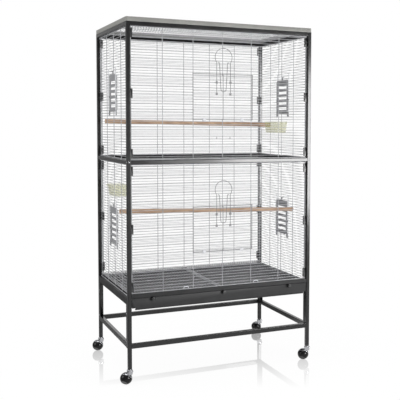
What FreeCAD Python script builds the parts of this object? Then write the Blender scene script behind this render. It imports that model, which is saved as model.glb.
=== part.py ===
# Two-storey indoor aviary on ball castors: a square-tube frame with clipped wire panels,
# drop-down front doors, slotted lift doors, a pull-out tray and a stand.
# Millimetres, +Z up, +X to the right, -Y to the front. The floor is z = 0.
import FreeCAD, Part
import math
import os
from FreeCAD import Vector

# Outside of the corner posts and the roof
WIDTH = 830.0
DEPTH = 540.0
HEIGHT = 1488.0

# Square tube of the frame
TUBE = 16.0
TUBE_WALL = 1.2
TUBE_CORNER = 2.0
PLUG_GAP = 0.1
SLEEVE_LENGTH = 60.0
SLEEVE_WALL = 1.5

# Heights of the frame members above the floor
LEG_BOTTOM = 68.0
STRETCHER_BOTTOM = 149.0
STRETCHER_HEIGHT = 20.0
BASE_RAIL_BOTTOM = 329.0
BASE_RAIL_HEIGHT = 28.0
FRONT_RAIL_BOTTOM = 355.0
FRONT_RAIL_HEIGHT = 17.0
MID_RAIL_BOTTOM = 900.0

# Roof band, a channel that opens downwards
ROOF_BAND_HEIGHT = 18.0
ROOF_BAND_WIDTH = 11.0
ROOF_BAND_WALL = 1.5
ROOF_CORNER = 5.0
ROOF_BARS = 3

# Wire work: thin wires lie outside one plane, uprights and edge wires inside it
PANEL_DEPTH = 13.0
WIRE = 2.0
WIRE_PITCH = 12.0
UPRIGHT = 3.0
EDGE_WIRE = 4.0
THIN_FLAT_COUNT = 4
THICK_FLAT_COUNT = 8
PANEL_PLAY = 0.5
FRONT_BAYS = 6
SIDE_BAYS = 4

# Panel clips, C-shaped in plan and half-round in elevation
CLIP_HEIGHT = 38.0
CLIP_BASE = 3.0
CLIP_ARM = 8.0
CLIP_WALL = 1.6
CLIP_GAP = 0.3
CLIP_INSET = 27.0

# Drop-down front doors
DOOR_SILLS = {"upper": 1087.0, "lower": 530.0}
DOOR_HEIGHT = 192.0
DOOR_LAP = 4.0
DOOR_GAP = 1.0
HINGE_DROP = 4.0
HINGE_OUTER_R = 3.2
HINGE_LENGTH = 14.0
HINGE_X = 85.0
HINGE_TAB = 12.0
RUNNING_GAP = 0.08
HOOK_DROP = 77.0
HOOK_X = 30.0
HOOK_WIRE = 2.5
HOOK_REACH = 7.0
HOOK_RISE = 8.0

# Bail latch and spring tongue on each front door
LATCH_WIRE = 2.5
LATCH_LEG_X = 31.0
LATCH_BULB_R = 38.0
LATCH_NECK_R = 12.0
LATCH_FOOT = 104.0
LATCH_TOP = 299.0
KEEPER_WIDTH = 8.0
KEEPER_DEPTH = 4.9
KEEPER_HEIGHT = 10.0
KEEPER_FLOOR = 2.5
KEEPER_RISE = 48.0
TONGUE_TOP_X = 18.0
TONGUE_FOOT_R = 12.0
TONGUE_FOOT = 118.0
TONGUE_TOP = 236.0
TONGUE_HOOK_R = 3.5
TONGUE_HOOK_TURN = 160.0

# Slotted lift doors on the side panels
LIFT_SILLS = {"upper": 1112.0, "lower": 549.0}
LIFT_WIDTH = 116.0
LIFT_HEIGHT = 160.0
LIFT_SHEET = 1.6
LIFT_GAP = 0.4
LIFT_OVERLAP = 8.0
LIFT_JAMB_OVERLAP = 3.5
LIFT_SLOTS = 5
LIFT_SLOT_LENGTH = 90.0
LIFT_SLOT_HEIGHT = 12.5
LIFT_SLOT_CORNER = 2.5
LIFT_SLOT_PITCH = 24.8
LIFT_SLOT_START = 25.5
LIFT_NECK_WIDTH = 8.0
LIFT_NECK_RISE = 14.0
LIFT_LIP_WIDTH = 16.0
LIFT_LIP_REACH = 6.0
LIFT_EAR_REACH = 7.0
LIFT_EAR_LEVEL = 60.0
LIFT_EAR_HEIGHT = 10.0
LIFT_FOOT_INSET = 8.0
GUIDE_WIRE = 3.0
GUIDE_GAP = 2.0
GUIDE_DROP = 16.0
GUIDE_RISE = 28.0

# Floor grilles, their centre bar and the tray runners
GRILLE_LEVEL = 365.0
GRILLE_PLAY = 3.0
GRILLE_END_PLAY = 5.0
GRILLE_BARS = 7
GRILLE_HANDLE_X = 160.0
GRILLE_HANDLE_WIDTH = 24.0
GRILLE_HANDLE_TOP = 382.0
CENTRE_BAR_WIDTH = 12.0
CENTRE_BAR_HEIGHT = 8.0
CENTRE_BAR_LAP = 3.0
CENTRE_BAR_PLAY = 0.4
RUNNER_SHEET = 1.2
RUNNER_LEDGE = 13.0
RUNNER_FOOT = 18.0
RUNNER_INSET = 8.0
RUNNER_GAP = 0.3

# Tray and its front
TRAY_BOTTOM = 314.8
TRAY_TOP = 345.0
TRAY_WALL = 1.2
TRAY_SIDE_PLAY = 3.0
TRAY_BACK_PLAY = 6.0
TRAY_CORNER = 8.0
FASCIA_BOTTOM = 307.0
FASCIA_TOP = 353.5
FASCIA_SHEET = 1.5
FASCIA_RECESS = 2.0
FASCIA_PLAY = 1.5
FASCIA_LIP = 9.0
FASCIA_NOTCH = 14.0
KNOB_X = 310.0
KNOB_Z = 349.0
KNOB_R = 8.0
KNOB_NECK_R = 4.0
KNOB_NECK = 4.0
KNOB_LENGTH = 14.0
KNOB_ROUND = 3.0

# Perches, natural wood, set one or two wires lower at the right
PERCH_LEFT = {"upper": 1074.0, "lower": 695.0}
PERCH_RIGHT = {"upper": 1062.0, "lower": 671.0}
PERCH_Y = {"upper": 140.0, "lower": -112.0}
PERCH_R = 9.5
PERCH_FLAT_COUNT = 16
PERCH_OVERHANG = 2.0
PERCH_KERF_PLAY = 0.4

# Hook-on bowls: the upper one hangs on the right panel, the lower one on the left
BOWL_SIDES = {"upper": "right", "lower": "left"}
BOWL_RIMS = {"upper": 1072.0, "lower": 793.0}
BOWL_OFFSETS = {"upper": -16.0, "lower": 91.0}
BOWL_WIDTH = 122.0
BOWL_REACH = 72.0
BOWL_HEIGHT = 52.0
BOWL_TAPER = 7.0
BOWL_WALL = 2.2
BOWL_CORNER = 14.0
BOWL_BACK_GAP = 0.5
BOWL_HOOK_SHEET = 2.5
BOWL_HOOK_WIDTH = 12.0
BOWL_HOOK_SPACING = 50.0
BOWL_HOOK_DROP = 8.0
BOWL_HOOK_GAP = 0.3

# Ball castors, all swivelled alike: they trail to the left and back, and the wheel faces left, front and down
BALL_R = 25.0
CASTOR_TRAIL = 17.0
CASTOR_TILT = 45.0
CASTOR_SWIVEL = -45.0
WHEEL_FACE = 2.0
WHEEL_HUB = 21.0
WHEEL_GAP = 1.0
HOOD_WALL = 2.0
AXLE_R = 3.0
AXLE_BOSS_R = 6.0
AXLE_LENGTH = 12.0
AXLE_END_GAP = 0.5
BOSS_R = 12.0
BOSS_ROUND = 3.0
BOSS_BOTTOM = 44.0
BOSS_TOP = 63.5
LUG_R = 4.5
LUG_REACH = 11.0
LUG_Z = 56.0
STEM_R = 4.0
STEM_BOTTOM = 50.3
STEM_TOP = 86.0
COLLAR_R = 6.5
COLLAR_GAP = 0.3
PLUG_FLANGE = 2.5
PLUG_DEPTH = 20.0

# Places worked out from the sizes above
HALF_W = WIDTH / 2
HALF_D = DEPTH / 2
POST_X = HALF_W - TUBE / 2
POST_Y = HALF_D - TUBE / 2
CLEAR_X = HALF_W - TUBE
CLEAR_Y = HALF_D - TUBE
TOP_RAIL_TOP = HEIGHT - ROOF_BAND_HEIGHT
TOP_RAIL_BOTTOM = TOP_RAIL_TOP - TUBE
MID_RAIL_TOP = MID_RAIL_BOTTOM + TUBE
POST_SPLIT = MID_RAIL_BOTTOM + TUBE / 2
BASE_RAIL_TOP = BASE_RAIL_BOTTOM + BASE_RAIL_HEIGHT
FRONT_RAIL_TOP = FRONT_RAIL_BOTTOM + FRONT_RAIL_HEIGHT
STRETCHER_MIDDLE = STRETCHER_BOTTOM + STRETCHER_HEIGHT / 2
UPRIGHT_Y = CLEAR_Y - TUBE / 2
DOOR_BACK = PANEL_DEPTH - WIRE - DOOR_GAP
DOOR_PLANE = DOOR_BACK - UPRIGHT
DOOR_FACE = DOOR_PLANE - WIRE
LATCH_N = DOOR_FACE - KEEPER_DEPTH / 2
LIFT_BACK = PANEL_DEPTH - WIRE - LIFT_GAP
LIFT_FACE = LIFT_BACK - LIFT_SHEET
GUIDE_N = LIFT_FACE - LIFT_GAP - GUIDE_WIRE / 2
FASCIA_Y = -HALF_D + FASCIA_RECESS
PLUG_BOTTOM = LEG_BOTTOM - PLUG_FLANGE
CORNERS = {"front_left": (-1, -1), "front_right": (1, -1), "rear_left": (-1, 1), "rear_right": (1, 1)}

# The origin is under the middle of the whole box, wheels, lugs and knobs included
SWIVEL_ANGLE = math.radians(CASTOR_SWIVEL)
TRAIL_X = CASTOR_TRAIL * math.cos(SWIVEL_ANGLE)
TRAIL_Y = -CASTOR_TRAIL * math.sin(SWIVEL_ANGLE)
LUG_X = LUG_REACH * math.cos(SWIVEL_ANGLE) + LUG_R
LUG_Y = -LUG_REACH * math.sin(SWIVEL_ANGLE) + LUG_R
REACH_LEFT = max(HALF_W, POST_X + BALL_R + TRAIL_X)
REACH_RIGHT = max(HALF_W, POST_X + BALL_R - TRAIL_X, POST_X + LUG_X)
REACH_BACK = max(HALF_D, POST_Y + BALL_R + TRAIL_Y)
REACH_FRONT = max(HALF_D, POST_Y + BALL_R - TRAIL_Y, POST_Y + LUG_Y, KNOB_LENGTH - FASCIA_Y)
ORIGIN_SHIFT = Vector((REACH_LEFT - REACH_RIGHT) / 2, (REACH_FRONT - REACH_BACK) / 2, 0)

# Turns about (1, 1, 1) that lay a shape drawn along local Z along each axis
AXIS_TURN = {"z": 0.0, "x": 120.0, "y": 240.0}


def lay(shape, axis, start):
    """Turn a shape drawn up from the origin so that it runs along the axis from the start point."""
    shape.rotate(Vector(), Vector(1, 1, 1), AXIS_TURN[axis])
    shape.translate(start)
    return shape


def box(low, high):
    """Box between two corners."""
    size = high - low
    return Part.makeBox(size.x, size.y, size.z, low)


def rounded_wire(width, height, radius, level=0.0):
    """Closed rectangle about the origin with round corners, in a plane of constant z."""
    x = width / 2
    y = height / 2
    edges = []
    for turn in range(4):
        along, across = (x, y) if turn % 2 == 0 else (y, x)
        mid = radius * (1 - math.sqrt(0.5))
        corner_edges = [
            Part.LineSegment(Vector(along, radius - across, level), Vector(along, across - radius, level)),
            Part.Arc(
                Vector(along, across - radius, level),
                Vector(along - mid, across - mid, level),
                Vector(along - radius, across, level),
            ),
        ]
        for edge in corner_edges:
            shape = edge.toShape()
            shape.rotate(Vector(), Vector(0, 0, 1), 90 * turn)
            edges.append(shape)
    return Part.Wire(edges)


def rect_wire(width, height):
    """Closed sharp rectangle about the origin in the XY plane."""
    corners = [(-1, -1), (1, -1), (1, 1), (-1, 1), (-1, -1)]
    return Part.makePolygon([Vector(a * width / 2, b * height / 2, 0) for a, b in corners])


def holed_face(wires):
    """Flat face inside the first outline, with the others as its holes."""
    return Part.makeFace(wires, "Part::FaceMakerBullseye")


def tube(axis, start, length, size_a=TUBE, size_b=TUBE, wall=TUBE_WALL, corner=TUBE_CORNER):
    """Hollow tube along an axis; start is the middle of its first end."""
    outer = rounded_wire(size_a, size_b, corner)
    inner = rect_wire(size_a - 2 * wall, size_b - 2 * wall)
    return lay(holed_face([outer, inner]).extrude(Vector(0, 0, length)), axis, start)


def rod(axis, start, length, across, sides):
    """Straight wire with flats square to the axes; across is its size between flats."""
    radius = across / 2 / math.cos(math.pi / sides)
    angles = [(k + 0.5) * 2 * math.pi / sides for k in range(sides)]
    points = [Vector(radius * math.cos(a), radius * math.sin(a), 0) for a in angles]
    face = Part.Face(Part.makePolygon(points + points[:1]))
    return lay(face.extrude(Vector(0, 0, length)), axis, start)


def round_rod(axis, start, length, radius):
    """Round bar along an axis."""
    return lay(Part.makeCylinder(radius, length), axis, start)


def thin_rod(axis, start, length):
    """One of the many thin wires of a grille."""
    return rod(axis, start, length, WIRE, THIN_FLAT_COUNT)


def thick_rod(axis, start, length, across):
    """One of the thicker wires that carry the thin ones."""
    return rod(axis, start, length, across, THICK_FLAT_COUNT)


def bent_wire(path, radius, start, direction):
    """Round wire bent along a smooth path."""
    profile = Part.Wire(Part.makeCircle(radius, start, direction))
    return Part.Wire(path).makePipeShell([profile], True, False)


def at_side(side, along, depth, level):
    """Point on one side of the cage, at a depth in from the outer face of the posts."""
    places = {
        "front": Vector(along, depth - HALF_D, level),
        "rear": Vector(along, HALF_D - depth, level),
        "left": Vector(depth - HALF_W, along, level),
        "right": Vector(HALF_W - depth, along, level),
    }
    return places[side]


def side_axis(side):
    """Axis that runs along a side of the cage."""
    return "x" if side in ("front", "rear") else "y"


def clear_half(side):
    """Half of the clear space between the posts of a side."""
    return CLEAR_X if side_axis(side) == "x" else CLEAR_Y


def bay_width(side):
    """Distance between the uprights of a panel."""
    bays = FRONT_BAYS if side_axis(side) == "x" else SIDE_BAYS
    return 2 * (clear_half(side) - CLIP_BASE - EDGE_WIRE / 2) / bays


def panel_span(side, storey):
    """Bottom and top of a wire panel, which stands on the rail below it."""
    if storey == "upper":
        return MID_RAIL_TOP, TOP_RAIL_BOTTOM - PANEL_PLAY
    bottom = FRONT_RAIL_TOP if side == "front" else BASE_RAIL_TOP
    return bottom, MID_RAIL_BOTTOM - PANEL_PLAY


def wire_levels(side, storey):
    """Heights of the thin wires of a panel."""
    bottom, top = panel_span(side, storey)
    first = bottom + EDGE_WIRE / 2
    count = int((top - EDGE_WIRE - WIRE - first) / WIRE_PITCH)
    return [first + WIRE_PITCH * (k + 1) for k in range(count)]


def nearest_level(side, storey, height):
    """Height of the thin wire that is nearest to a height."""
    return min(wire_levels(side, storey), key=lambda level: abs(level - height))


def along_wire(side, start, end, level, across=WIRE):
    """Level wire of a panel, outside the panel's plane."""
    place = at_side(side, start, PANEL_DEPTH - across / 2, level)
    if across == WIRE:
        return thin_rod(side_axis(side), place, end - start)
    return thick_rod(side_axis(side), place, end - start, across)


def upright_wire(side, along, bottom, top, across=UPRIGHT):
    """Upright wire of a panel, inside the panel's plane."""
    return thick_rod("z", at_side(side, along, PANEL_DEPTH + across / 2, bottom), top - bottom, across)


def door_sill(storey):
    """Height of the wire below a front door's opening."""
    return nearest_level("front", storey, DOOR_SILLS[storey])


def door_lintel(storey):
    """Height of the wire above a front door's opening."""
    return nearest_level("front", storey, door_sill(storey) + DOOR_HEIGHT - 2 * DOOR_LAP)


def lift_bottom(side, storey):
    """Height of a lift door's bottom edge at rest."""
    return nearest_level(side, storey, LIFT_SILLS[storey] + LIFT_OVERLAP) - LIFT_OVERLAP


def opening_of(side, storey):
    """Opening of a panel as its two jambs, sill and lintel, or None where the panel is whole."""
    if side == "front":
        jamb = bay_width(side)
        return -jamb, jamb, door_sill(storey), door_lintel(storey)
    if side in ("left", "right"):
        jamb = LIFT_WIDTH / 2 - LIFT_JAMB_OVERLAP
        sill = lift_bottom(side, storey) + LIFT_OVERLAP
        lintel = nearest_level(side, storey, sill + LIFT_HEIGHT - 2 * LIFT_OVERLAP)
        return -jamb, jamb, sill, lintel
    return None


def wire_panel(side, storey):
    """Welded wire panel with its edge wires, uprights, thin wires and any door opening."""
    bottom, top = panel_span(side, storey)
    half = clear_half(side) - CLIP_BASE
    bay = bay_width(side)
    bays = FRONT_BAYS if side_axis(side) == "x" else SIDE_BAYS
    opening = opening_of(side, storey)
    rims = (bottom + EDGE_WIRE / 2, top - EDGE_WIRE / 2)
    wires = [along_wire(side, -half, half, level, EDGE_WIRE) for level in rims]
    wires += [upright_wire(side, sign * (half - EDGE_WIRE / 2), bottom, top, EDGE_WIRE) for sign in (-1, 1)]
    for k in range(1, bays):
        along = (k - bays / 2) * bay
        if opening and opening[0] + UPRIGHT < along < opening[1] - UPRIGHT:
            wires.append(upright_wire(side, along, bottom, opening[2] + WIRE / 2))
            wires.append(upright_wire(side, along, opening[3] - WIRE / 2, top))
        else:
            wires.append(upright_wire(side, along, bottom, top))
    if opening and side != "front":
        jamb_bottom = opening[2] - WIRE / 2
        jamb_top = opening[3] + WIRE / 2
        wires += [upright_wire(side, along, jamb_bottom, jamb_top) for along in opening[:2]]
    for level in wire_levels(side, storey):
        if opening and opening[2] < level < opening[3]:
            wires.append(along_wire(side, -half, opening[0] + UPRIGHT / 2, level))
            wires.append(along_wire(side, opening[1] - UPRIGHT / 2, half, level))
        else:
            wires.append(along_wire(side, -half, half, level))
    return wires


def panel_clip(side, sign, middle):
    """Clip that holds a panel's edge wire to a post."""
    post = clear_half(side)
    floor = post - CLIP_BASE
    free = floor - CLIP_ARM
    outer = PANEL_DEPTH - WIRE - CLIP_GAP
    inner = PANEL_DEPTH + EDGE_WIRE + CLIP_GAP
    outline = [
        (post, outer - CLIP_WALL),
        (post, inner + CLIP_WALL),
        (free, inner + CLIP_WALL),
        (free, inner),
        (floor, inner),
        (floor, outer),
        (free, outer),
        (free, outer - CLIP_WALL),
    ]
    points = [at_side(side, sign * along, depth, middle - CLIP_HEIGHT / 2) for along, depth in outline]
    return Part.Face(Part.makePolygon(points + points[:1])).extrude(Vector(0, 0, CLIP_HEIGHT))


def panel_clips():
    """Three clips at each edge of each panel."""
    clips = []
    for side in ("front", "rear", "left", "right"):
        for storey in ("upper", "lower"):
            bottom, top = panel_span("front", storey)
            heights = (bottom + CLIP_INSET, (bottom + top) / 2, top - CLIP_INSET - PANEL_PLAY)
            clips += [panel_clip(side, sign, level) for sign in (-1, 1) for level in heights]
    return clips


def lower_post(corner):
    """Corner post from the castor to the mid rails."""
    sx, sy = CORNERS[corner]
    return [tube("z", Vector(sx * POST_X, sy * POST_Y, LEG_BOTTOM), POST_SPLIT - LEG_BOTTOM)]


def upper_post(corner):
    """Corner post from the mid rails to the roof."""
    sx, sy = CORNERS[corner]
    return [tube("z", Vector(sx * POST_X, sy * POST_Y, POST_SPLIT), TOP_RAIL_TOP - POST_SPLIT)]


def post_sleeves():
    """Short tubes inside the posts that join upper to lower."""
    size = TUBE - 2 * TUBE_WALL - 2 * PLUG_GAP
    bottom = POST_SPLIT - SLEEVE_LENGTH / 2
    sleeves = []
    for sx, sy in CORNERS.values():
        start = Vector(sx * POST_X, sy * POST_Y, bottom)
        sleeves.append(tube("z", start, SLEEVE_LENGTH, size, size, SLEEVE_WALL, TUBE_CORNER))
    return sleeves


def cross_rail(side, middle, height=TUBE):
    """Level tube between the two posts of a side."""
    half = clear_half(side)
    start = at_side(side, -half, TUBE / 2, middle)
    if side_axis(side) == "x":
        return tube("x", start, 2 * half, TUBE, height)
    return tube("y", start, 2 * half, height, TUBE)


def rail_ring(bottom):
    """Four rails of square tube at one height."""
    return [cross_rail(side, bottom + TUBE / 2) for side in ("front", "rear", "left", "right")]


def base_rails():
    """Taller rails at the foot of the side and rear panels."""
    middle = BASE_RAIL_BOTTOM + BASE_RAIL_HEIGHT / 2
    return [cross_rail(side, middle, BASE_RAIL_HEIGHT) for side in ("rear", "left", "right")]


def front_base_rail():
    """Rail above the tray front."""
    return [cross_rail("front", FRONT_RAIL_BOTTOM + FRONT_RAIL_HEIGHT / 2, FRONT_RAIL_HEIGHT)]


def stretchers():
    """Front and rear rails of the stand."""
    return [cross_rail(side, STRETCHER_MIDDLE, STRETCHER_HEIGHT) for side in ("front", "rear")]


def side_frame(sign):
    """Side of the stand: two uprights beside the legs and the stretcher between them."""
    height = BASE_RAIL_BOTTOM - STRETCHER_BOTTOM
    uprights = [tube("z", Vector(sign * POST_X, sy * UPRIGHT_Y, STRETCHER_BOTTOM), height) for sy in (-1, 1)]
    inner = UPRIGHT_Y - TUBE / 2
    start = Vector(sign * POST_X, -inner, STRETCHER_MIDDLE)
    return uprights + [tube("y", start, 2 * inner, STRETCHER_HEIGHT, TUBE)]


def roof_frame():
    """Roof band as four mitred lengths of channel."""
    band = Part.Face(rounded_wire(WIDTH, DEPTH, ROOF_CORNER)).extrude(Vector(0, 0, ROOF_BAND_HEIGHT))
    inner_x = HALF_W - ROOF_BAND_WIDTH
    inner_y = HALF_D - ROOF_BAND_WIDTH
    hole = box(Vector(-inner_x, -inner_y, 0), Vector(inner_x, inner_y, ROOF_BAND_HEIGHT))
    wall = ROOF_BAND_WALL
    groove_wire = rounded_wire(WIDTH - 2 * wall, DEPTH - 2 * wall, ROOF_CORNER - wall)
    groove_hole = rect_wire(2 * (inner_x + wall), 2 * (inner_y + wall))
    groove = holed_face([groove_wire, groove_hole]).extrude(Vector(0, 0, ROOF_BAND_HEIGHT - wall))
    band = band.cut(hole).cut(groove)
    band.translate(Vector(0, 0, TOP_RAIL_TOP))
    ridge = HALF_W - HALF_D
    wedges = [
        [(-HALF_W, -HALF_D), (HALF_W, -HALF_D), (ridge, 0), (-ridge, 0)],
        [(HALF_W, -HALF_D), (HALF_W, HALF_D), (ridge, 0)],
        [(HALF_W, HALF_D), (-HALF_W, HALF_D), (-ridge, 0), (ridge, 0)],
        [(-HALF_W, HALF_D), (-HALF_W, -HALF_D), (-ridge, 0)],
    ]
    lengths = []
    for wedge in wedges:
        points = [Vector(x, y, TOP_RAIL_TOP) for x, y in wedge]
        prism = Part.Face(Part.makePolygon(points + points[:1])).extrude(Vector(0, 0, ROOF_BAND_HEIGHT))
        lengths.append(band.common(prism))
    return lengths


def flat_grille(low_x, high_x, low_y, high_y, level, bars):
    """Level grille: edge wires and cross bars along X and Y, with thin wires along Y on top."""
    edge = level + EDGE_WIRE / 2
    top = level + EDGE_WIRE
    length_x = high_x - low_x
    length_y = high_y - low_y
    wires = [
        thick_rod("x", Vector(low_x, y, edge), length_x, EDGE_WIRE)
        for y in (low_y + EDGE_WIRE / 2, high_y - EDGE_WIRE / 2)
    ]
    wires += [
        thick_rod("y", Vector(x, low_y + EDGE_WIRE, edge), length_y - 2 * EDGE_WIRE, EDGE_WIRE)
        for x in (low_x + EDGE_WIRE / 2, high_x - EDGE_WIRE / 2)
    ]
    bar_start = low_x + EDGE_WIRE
    bar_length = length_x - 2 * EDGE_WIRE
    for k in range(1, bars + 1):
        y = low_y + length_y * k / (bars + 1)
        wires.append(thick_rod("x", Vector(bar_start, y, top - UPRIGHT / 2), bar_length, UPRIGHT))
    count = int((length_x - EDGE_WIRE) / WIRE_PITCH)
    first = (low_x + high_x) / 2 - (count - 1) * WIRE_PITCH / 2
    for k in range(count):
        wires.append(thin_rod("y", Vector(first + k * WIRE_PITCH, low_y, top + WIRE / 2), length_y))
    return wires


def roof_grille():
    """Wire roof that rests on the top rails inside the roof band."""
    half_x = HALF_W - ROOF_BAND_WIDTH - PANEL_PLAY
    half_y = HALF_D - ROOF_BAND_WIDTH - PANEL_PLAY
    return flat_grille(-half_x, half_x, -half_y, half_y, TOP_RAIL_TOP, ROOF_BARS)


def floor_grille(sign):
    """One half of the floor, resting on a runner's ledge and the centre bar, with its lifting handle."""
    inner = GRILLE_PLAY / 2
    outer = CLEAR_X - RUNNER_SHEET - GRILLE_PLAY
    low_x, high_x = (inner, outer) if sign > 0 else (-outer, -inner)
    half_y = CLEAR_Y - GRILLE_END_PLAY
    wires = flat_grille(low_x, high_x, -half_y, half_y, GRILLE_LEVEL, GRILLE_BARS)
    handle_y = -half_y + EDGE_WIRE / 2
    handle_foot = GRILLE_LEVEL + EDGE_WIRE + WIRE
    handle_height = GRILLE_HANDLE_TOP - UPRIGHT - handle_foot
    first = sign * GRILLE_HANDLE_X - GRILLE_HANDLE_WIDTH / 2
    for x in (first + UPRIGHT / 2, first + GRILLE_HANDLE_WIDTH - UPRIGHT / 2):
        wires.append(thick_rod("z", Vector(x, handle_y, handle_foot), handle_height, UPRIGHT))
    bridge = Vector(first, handle_y, GRILLE_HANDLE_TOP - UPRIGHT / 2)
    wires.append(thick_rod("x", bridge, GRILLE_HANDLE_WIDTH, UPRIGHT))
    return wires


def centre_bar():
    """Bar under the joint of the floor grilles, from the front rail to its fork on the rear rail."""
    half = CENTRE_BAR_WIDTH / 2
    front = -CLEAR_Y
    back = CLEAR_Y + CENTRE_BAR_LAP
    bottom = GRILLE_LEVEL - CENTRE_BAR_HEIGHT
    bar = box(Vector(-half, front, bottom), Vector(half, back, GRILLE_LEVEL))
    fork = UPRIGHT / 2 + CENTRE_BAR_PLAY
    notch = box(Vector(-fork, CLEAR_Y - CENTRE_BAR_PLAY, bottom), Vector(fork, back, GRILLE_LEVEL))
    return [bar.cut(notch)]


def tray_runners():
    """Channels on the side base rails: the tray slides on the foot, the floor grille rests on the ledge."""
    web_bottom = TRAY_BOTTOM - RUNNER_SHEET - RUNNER_GAP
    half = CLEAR_Y - RUNNER_INSET
    runners = []
    for sign in (-1, 1):
        outline = [
            (CLEAR_X, web_bottom),
            (CLEAR_X, GRILLE_LEVEL),
            (CLEAR_X - RUNNER_LEDGE, GRILLE_LEVEL),
            (CLEAR_X - RUNNER_LEDGE, GRILLE_LEVEL - RUNNER_SHEET),
            (CLEAR_X - RUNNER_SHEET, GRILLE_LEVEL - RUNNER_SHEET),
            (CLEAR_X - RUNNER_SHEET, web_bottom + RUNNER_SHEET),
            (CLEAR_X - RUNNER_FOOT, web_bottom + RUNNER_SHEET),
            (CLEAR_X - RUNNER_FOOT, web_bottom),
        ]
        points = [Vector(sign * x, -half, z) for x, z in outline]
        runners.append(Part.Face(Part.makePolygon(points + points[:1])).extrude(Vector(0, 2 * half, 0)))
    return runners


def tray():
    """Open pan with rounded upright corners."""
    half_x = CLEAR_X - TRAY_SIDE_PLAY
    front = FASCIA_Y + FASCIA_SHEET
    back = CLEAR_Y - TRAY_BACK_PLAY
    width = 2 * half_x
    depth = back - front
    height = TRAY_TOP - TRAY_BOTTOM
    outer = Part.Face(rounded_wire(width, depth, TRAY_CORNER)).extrude(Vector(0, 0, height))
    walls = 2 * TRAY_WALL
    inner_wire = rounded_wire(width - walls, depth - walls, TRAY_CORNER - TRAY_WALL, TRAY_WALL)
    pan = outer.cut(Part.Face(inner_wire).extrude(Vector(0, 0, height)))
    pan.translate(Vector(0, (front + back) / 2, TRAY_BOTTOM))
    return [pan]


def tray_front():
    """Folded sheet front with a lip at top and bottom; the bottom lip stops short of the legs."""
    half = CLEAR_X - FASCIA_PLAY
    back = FASCIA_Y + FASCIA_SHEET
    lip_back = back + FASCIA_LIP
    plate = box(Vector(-half, FASCIA_Y, FASCIA_BOTTOM), Vector(half, back, FASCIA_TOP))
    top_lip = box(Vector(-half, back, FASCIA_TOP - FASCIA_SHEET), Vector(half, lip_back, FASCIA_TOP))
    short = half - FASCIA_NOTCH
    lip_top = FASCIA_BOTTOM + FASCIA_SHEET
    bottom_lip = box(Vector(-short, back, FASCIA_BOTTOM), Vector(short, lip_back, lip_top))
    front = plate.fuse([top_lip, bottom_lip]).removeSplitter()
    for sign in (-1, 1):
        low = Vector(min(sign * short, sign * half), FASCIA_Y, FASCIA_BOTTOM)
        high = Vector(max(sign * short, sign * half), back, TRAY_BOTTOM)
        front = front.cut(box(low, high))
    return [front]


def tray_knobs():
    """Three turned knobs on the tray front."""
    profile = [
        Vector(0, 0, 0),
        Vector(KNOB_NECK_R, 0, 0),
        Vector(KNOB_NECK_R, 0, KNOB_NECK),
        Vector(KNOB_R, 0, KNOB_NECK),
        Vector(KNOB_R, 0, KNOB_LENGTH - KNOB_ROUND),
        Vector(KNOB_R - KNOB_ROUND, 0, KNOB_LENGTH),
        Vector(0, 0, KNOB_LENGTH),
    ]
    edges = [Part.LineSegment(a, b).toShape() for a, b in zip(profile[:4], profile[1:5])]
    mid = KNOB_ROUND * (1 - math.sqrt(0.5))
    bend = Vector(KNOB_R - mid, 0, KNOB_LENGTH - mid)
    edges.append(Part.Arc(profile[4], bend, profile[5]).toShape())
    edges.append(Part.LineSegment(profile[5], profile[6]).toShape())
    edges.append(Part.LineSegment(profile[6], profile[0]).toShape())
    knobs = []
    for x in (-KNOB_X, 0.0, KNOB_X):
        knob = Part.Face(Part.Wire(edges)).revolve(Vector(), Vector(0, 0, 1), 360)
        knob.rotate(Vector(), Vector(1, 0, 0), 90)
        knob.translate(Vector(x, FASCIA_Y, KNOB_Z))
        knobs.append(knob)
    return knobs


def hinge_level(storey):
    """Height of a front door's hinge rod."""
    return door_sill(storey) - HINGE_DROP


def door_half():
    """Half of a front door's width."""
    return bay_width("front") + DOOR_LAP


def door_wire_levels(storey):
    """Heights of a front door's thin wires."""
    bottom = hinge_level(storey)
    count = int((DOOR_HEIGHT - UPRIGHT - WIRE) / WIRE_PITCH)
    return [bottom + WIRE_PITCH * (k + 1) for k in range(count)]


def keeper_levels(storey):
    """Heights of the latch keepers, each on one of the door's wires."""
    levels = door_wire_levels(storey)
    foot = hinge_level(storey) + LATCH_FOOT
    low = min(levels, key=lambda level: abs(level - foot))
    high = min(levels, key=lambda level: abs(level - foot - KEEPER_RISE))
    return low, high


def latch_keepers(storey):
    """Blocks on a front door that guide the latch; the lower ones are closed below and stop it."""
    low, high = keeper_levels(storey)
    half_x = KEEPER_WIDTH / 2
    half_z = KEEPER_HEIGHT / 2
    face = DOOR_FACE - KEEPER_DEPTH
    keepers = []
    for middle in (-LATCH_LEG_X, LATCH_LEG_X):
        for level, floor in ((low, KEEPER_FLOOR), (high, 0.0)):
            first = at_side("front", middle - half_x, face, level - half_z)
            last = at_side("front", middle + half_x, DOOR_FACE, level + half_z)
            bore_start = at_side("front", middle, LATCH_N, level - half_z + floor)
            bore = round_rod("z", bore_start, KEEPER_HEIGHT, LATCH_WIRE / 2 + RUNNING_GAP)
            keepers.append(box(first, last).cut(bore))
    return keepers


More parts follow.
